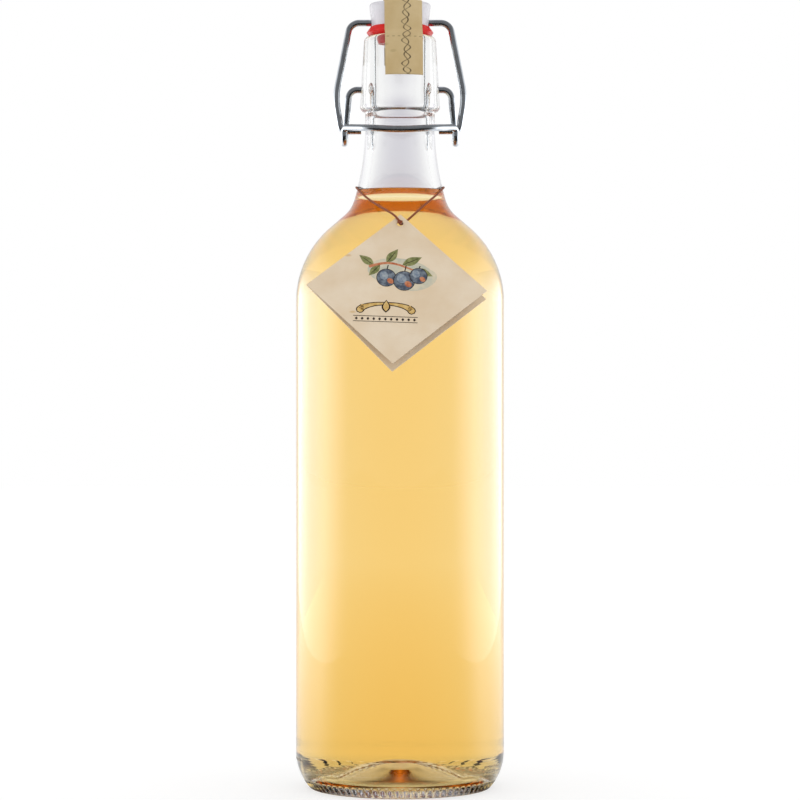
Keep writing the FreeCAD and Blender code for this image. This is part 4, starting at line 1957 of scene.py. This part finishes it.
@dataclass(frozen=True)
class TagString:
    """The twisted string that holds the tag: from the knot up the left of the neck, round its back
    and down the right, behind the card and into the same hole.

    Args:
        diameter: of the string, in millimetres.
        plies: how many plies it has.
        groove: how much of its radius the grooves between them take.
        twist: the length of one full turn of its plies, in millimetres.
        around: how many steps go round it.
        route: the corners that it is drawn between, in millimetres.
        knot_reach: how large the knot is.
        knot_thread: the radius of its thread.
        knot_depth: how deep it is for its size.
        knot_lean: how far it leans back on the card, in degrees.
        knot_steps: how many steps go along it.
        knot_around: how many steps go round its thread.
    """

    diameter: float = 0.9
    plies: int = 3
    groove: float = 0.14
    twist: float = 2.6
    around: int = 18
    route: tuple[tuple[float, float, float], ...] = (
        (-0.6, -33.36, 228.46),
        (-2.03, -32.17, 230.34),
        (-5.0, -27.2, 232.4),
        (-11.04, -17.0, 236.58),
        (-15.34, -11.15, 240.31),
        (-17.56, -4.7, 243.2),
        (-17.9, 1.88, 243.9),
        (-16.04, 8.17, 243.9),
        (-12.05, 13.38, 243.9),
        (-6.45, 16.81, 243.9),
        (0.0, 18.0, 243.9),
        (6.45, 16.81, 243.9),
        (12.05, 13.38, 243.9),
        (16.04, 8.17, 243.9),
        (17.9, 1.88, 243.9),
        (17.56, -4.7, 243.2),
        (15.34, -11.15, 240.31),
        (11.04, -17.0, 236.58),
        (0.02, -31.45, 225.67),
        (0.02, -33.57, 227.02),
    )
    knot_reach: float = 0.78
    knot_thread: float = 0.36
    knot_depth: float = 0.55
    knot_lean: float = -32.0
    knot_steps: int = 96
    knot_around: int = 12

    def line(self) -> list[Vector]:
        """The smooth line that the string follows.

        Returns:
            Its points, in metres.
        """
        curve = bpy.data.curves.new("string_line", "CURVE")
        curve.dimensions = "3D"
        spline = curve.splines.new("NURBS")
        spline.points.add(len(self.route) - 1)
        for point, place in zip(spline.points, self.route):
            point.co = (*(c * MM for c in place), 1)
        spline.order_u = 3
        spline.use_endpoint_u = True
        spline.resolution_u = 40
        holder = bpy.data.objects.new("string_line", curve)
        bpy.context.scene.collection.objects.link(holder)
        graph = bpy.context.evaluated_depsgraph_get()
        mesh = bpy.data.meshes.new_from_object(holder.evaluated_get(graph))
        line = [v.co.copy() for v in mesh.vertices]
        bpy.data.objects.remove(holder)
        bpy.data.curves.remove(curve)
        bpy.data.meshes.remove(mesh)
        return line

    def thread(self, length: float, turn: float) -> float:
        """The string's radius at a length and a turn: its plies wind round it."""
        wound = self.plies * (turn + math.tau * length / (self.twist * MM)) / 2
        return (self.diameter / 2 * MM) * (1 - self.groove + self.groove * abs(math.cos(wound)))

    def knot(self, material: bpy.types.Material) -> bpy.types.Object:
        """The knot on the face of the tag, a trefoil pulled tight.

        Args:
            material: the string's material.

        Returns:
            The knot.
        """
        low, high = (Vector(corner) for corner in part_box("tag_knot"))
        path = []
        for i in range(self.knot_steps + 1):
            t = math.tau * i / self.knot_steps
            x = (math.sin(t) + 2 * math.sin(2 * t)) / 3
            y = (math.cos(t) - 2 * math.cos(2 * t)) / 3
            path.append(Vector((x, -self.knot_depth * math.sin(3 * t), y)) * self.knot_reach * MM)
        piece = tube("string_knot", path, lambda *_: self.knot_thread * MM, self.knot_around)
        piece.data.transform(Matrix.Rotation(math.radians(self.knot_lean), 4, "X"))
        piece.data.transform(Matrix.Translation((low + high) / 2))
        piece.data.materials.append(material)
        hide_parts("tag_knot")
        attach(piece, BODY)
        return piece

    def build(self, on_it: Sequence[bpy.types.Object]) -> bpy.types.Object:
        """Builds the string.

        Args:
            on_it: the pieces that hang on it; not used.

        Returns:
            The string.
        """
        line = self.line()
        material = TwistedString().build()
        piece = tube("tag_thread", line, self.thread, self.around)
        piece.data.materials.append(material)
        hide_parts("tag_string")
        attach(piece, BODY)
        self.knot(material)
        return piece


# =============================================================================================
# Studio
# =============================================================================================
@dataclass(frozen=True)
class SidePanel:
    """A tall lit panel beside the bottle, which fades out at its ends and doesn't show by itself.

    Args:
        name: its name.
        side: where it stands, in metres to the right.
        near: how far towards the camera it starts, in metres behind the bottle.
        near_full: where it has grown to its full light.
        far_full: where its full light ends.
        far: where it ends.
        tall: its height.
        tall_full: the height at which its full light ends.
        below: the depth under the floor from which its light would grow.
        foot: the height at which it has grown to its full light.
        light: how bright it is.
        mirrored: how bright it is in a mirror.
        in_glass: how bright it is as glass shows it.
    """

    name: str
    side: float
    near: float = -0.45
    near_full: float = 0.15
    far_full: float = 0.75
    far: float = 1.35
    tall: float = 0.46
    tall_full: float = 0.207
    below: float = -0.15
    foot: float = 0.2
    light: float = 1.5
    mirrored: float = 4.2
    in_glass: float = 0.8

    def fades(self, graph: Graph) -> list[Socket]:
        """How full its light is along its length and its height.

        Args:
            graph: the material's graph.

        Returns:
            The shares.
        """
        split = graph.node("ShaderNodeSeparateXYZ", {0: graph.place()}).outputs
        back, up = split[1], split[2]
        return [
            graph.smooth_level(back, self.near, self.near_full),
            graph.smooth_level(back, self.far, self.far_full),
            graph.smooth_level(up, self.tall, self.tall_full),
            graph.smooth_level(up, self.below, self.foot),
        ]

    def build(self) -> None:
        """Builds the panel."""
        low, high = self.near, self.far
        corners = [
            Vector((self.side, y, z))
            for y, z in ((low, MM), (high, MM), (high, self.tall), (low, self.tall))
        ]
        panel = mesh_object(self.name, corners, [(0, 1, 2, 3)], smooth=False)
        material, graph = new_material(self.name)
        rays = graph.node("ShaderNodeLightPath").outputs
        share = graph.math("SUBTRACT", 1.0, rays["Is Camera Ray"])
        for part in self.fades(graph):
            share = graph.math("MULTIPLY", share, part)
        light = graph.blend(seen(graph), self.light, self.in_glass)
        light = graph.blend(mirrored(graph), light, self.mirrored)
        glow = graph.node("ShaderNodeEmission", {"Color": WHITE, "Strength": light}).outputs[0]
        clear = graph.node("ShaderNodeBsdfTransparent").outputs[0]
        output(graph, graph.node("ShaderNodeMixShader", {0: share, 1: clear, 2: glow}))
        panel.data.materials.append(material)


@dataclass(frozen=True)
class Studio:
    """A pale floor, soft light from both sides and all round, and a level camera in front.

    Args:
        camera_distance: how far the camera stands in front, in metres.
        camera_height: how high it stands.
        lens: its focal length, in millimetres.
        sensor: the width of its sensor, in millimetres.
        clip: the nearest thing that it sees.
        floor_size: the length of the floor's sides.
        fill: how bright the light from all round is.
        front: how bright a mirror shows the room in front.
        ceiling: how bright the ceiling is.
        ceiling_in_glass: how much of it glass shows.
        ceiling_mirrored: how much of it a mirror shows.
        ceiling_start: the way up where it starts and where it is full, from 0 level to 1 up.
        card_shade: the colour of the card behind.
        card_width: how wide it looks from the bottle, in degrees to each side.
        card_foot: how high over the floor it starts and where it is full, in degrees.
        card_back: the way back where it has gone and where it is full.
        bounces: how often light may bounce in the glass.
        panels: the panels beside the bottle.
    """

    camera_distance: float = 1.169
    camera_height: float = 0.1573
    lens: float = 129.4
    sensor: float = 36.0
    clip: float = 0.01
    floor_size: float = 8.0
    fill: float = 0.88
    front: float = 0.2
    ceiling: float = 0.04
    ceiling_in_glass: float = 1.0
    ceiling_mirrored: float = 0.7
    ceiling_start: Range = (0.35, 0.6)
    card_shade: Colour = (0.66, 0.645, 0.70)
    card_width: float = 11.0
    card_foot: Range = (1.9, 3.3)
    card_back: Range = (0.0, 0.2)
    bounces: int = 40
    panels: tuple[SidePanel, ...] = (SidePanel("left_panel", -0.6), SidePanel("right_panel", 0.6))

    def floor(self) -> None:
        """Lays the floor."""
        half = self.floor_size / 2
        corners = [Vector((x * half, y * half, 0)) for x, y in ((-1, -1), (1, -1), (1, 1), (-1, 1))]
        floor = mesh_object("floor", corners, [(0, 1, 2, 3)], smooth=False)
        floor.data.materials.append(StudioFloor().build())

    def surroundings(self, graph: Graph) -> Socket:
        """What metal and glass show: a white room with a dark ceiling and a grey card behind.

        What a surface mirrors is dark towards the camera too.

        Args:
            graph: the world's graph.

        Returns:
            The colour.
        """
        way = graph.node("ShaderNodeTexCoord").outputs["Generated"]
        split = graph.node("ShaderNodeSeparateXYZ", {0: way}).outputs
        side, back, up = split[0], split[1], split[2]
        through = graph.node("ShaderNodeLightPath").outputs["Is Transmission Ray"]
        front = graph.math("MULTIPLY", mirrored(graph), graph.smooth_level(back, *FRONT))
        in_glass = graph.math("MULTIPLY", through, self.ceiling_in_glass)
        dim = graph.math("MAXIMUM", in_glass, self.ceiling_mirrored)
        ceiling = graph.math("MULTIPLY", graph.smooth_level(up, *self.ceiling_start), dim)
        room = graph.mix(ceiling, WHITE, (self.ceiling,) * 3)
        room = graph.mix(front, room, (self.front,) * 3)
        return graph.mix(self.card(graph, side, back, up), room, self.card_shade)

    def card(self, graph: Graph, side: Socket, back: Socket, up: Socket) -> Socket:
        """How much of the card behind shows in a direction.

        Args:
            graph: the world's graph.
            side: the direction's part to the right.
            back: its part away from the camera.
            up: its part upward.

        Returns:
            The share.
        """
        width = math.tan(math.radians(self.card_width))
        off = graph.math("DIVIDE", graph.math("DIVIDE", side, back), width)
        across = graph.math("DIVIDE", 1.0, graph.math("ADD", graph.math("MULTIPLY", off, off), 1.0))
        low, high = (math.sin(math.radians(angle)) for angle in self.card_foot)
        above = graph.level(up, low, high)
        behind = graph.level(back, *self.card_back)
        return graph.math("MULTIPLY", graph.math("MULTIPLY", across, above), behind)

    def sky(self) -> None:
        """Lights the room evenly, keeps the backdrop white and gives metal and glass the room."""
        world = bpy.data.worlds.new("studio")
        world.use_nodes = True
        bpy.context.scene.world = world
        graph = Graph(world.node_tree)
        rays = graph.node("ShaderNodeLightPath").outputs
        shown = graph.mix(seen(graph), (self.fill,) * 3, self.surroundings(graph))
        colour = graph.mix(rays["Is Camera Ray"], shown, WHITE)
        light = graph.node("ShaderNodeBackground", {"Color": colour, "Strength": 1.0})
        graph.node("ShaderNodeOutputWorld", {"Surface": light.outputs[0]})

    def camera(self) -> None:
        """Sets the camera level in front of the bottle."""
        data = bpy.data.cameras.new("camera")
        data.lens = self.lens
        data.sensor_width = self.sensor
        data.clip_start = self.clip
        camera = bpy.data.objects.new("camera", data)
        camera.location = (0, -self.camera_distance, self.camera_height)
        camera.rotation_euler = Euler((math.radians(90), 0, 0))
        bpy.context.scene.collection.objects.link(camera)
        bpy.context.scene.camera = camera

    def build(self) -> None:
        """Builds the studio."""
        self.floor()
        self.sky()
        for panel in self.panels:
            panel.build()
        self.camera()
        scene = bpy.context.scene
        scene.cycles.max_bounces = self.bounces
        scene.cycles.transmission_bounces = self.bounces
        scene.cycles.glossy_bounces = self.bounces
        scene.view_settings.view_transform = "Standard"


def announce(*pieces: bpy.types.Object) -> None:
    """Reports finished pieces and how many faces each has."""
    for piece in pieces:
        LOG.info("%s built, %d faces", piece.name, len(piece.data.polygons))


def main() -> None:
    """Loads the frame and builds every piece of the bottle over it."""
    logging.basicConfig(level=logging.INFO, format="%(name)s: %(message)s")
    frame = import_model()
    sizes = BottleSizes()
    announce(GlassBottle(sizes).build())
    announce(Drink(sizes).build())
    Closure().dress(frame["nodes"])
    announce(SealStrip(sizes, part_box("stopper")[1][2] / MM).build())
    tag = FoldedTag().build(frame["nodes"]["tag_card"])
    announce(*tag)
    announce(TagString().build(tag))
    Studio().build()


if __name__ == "__main__":
    main()
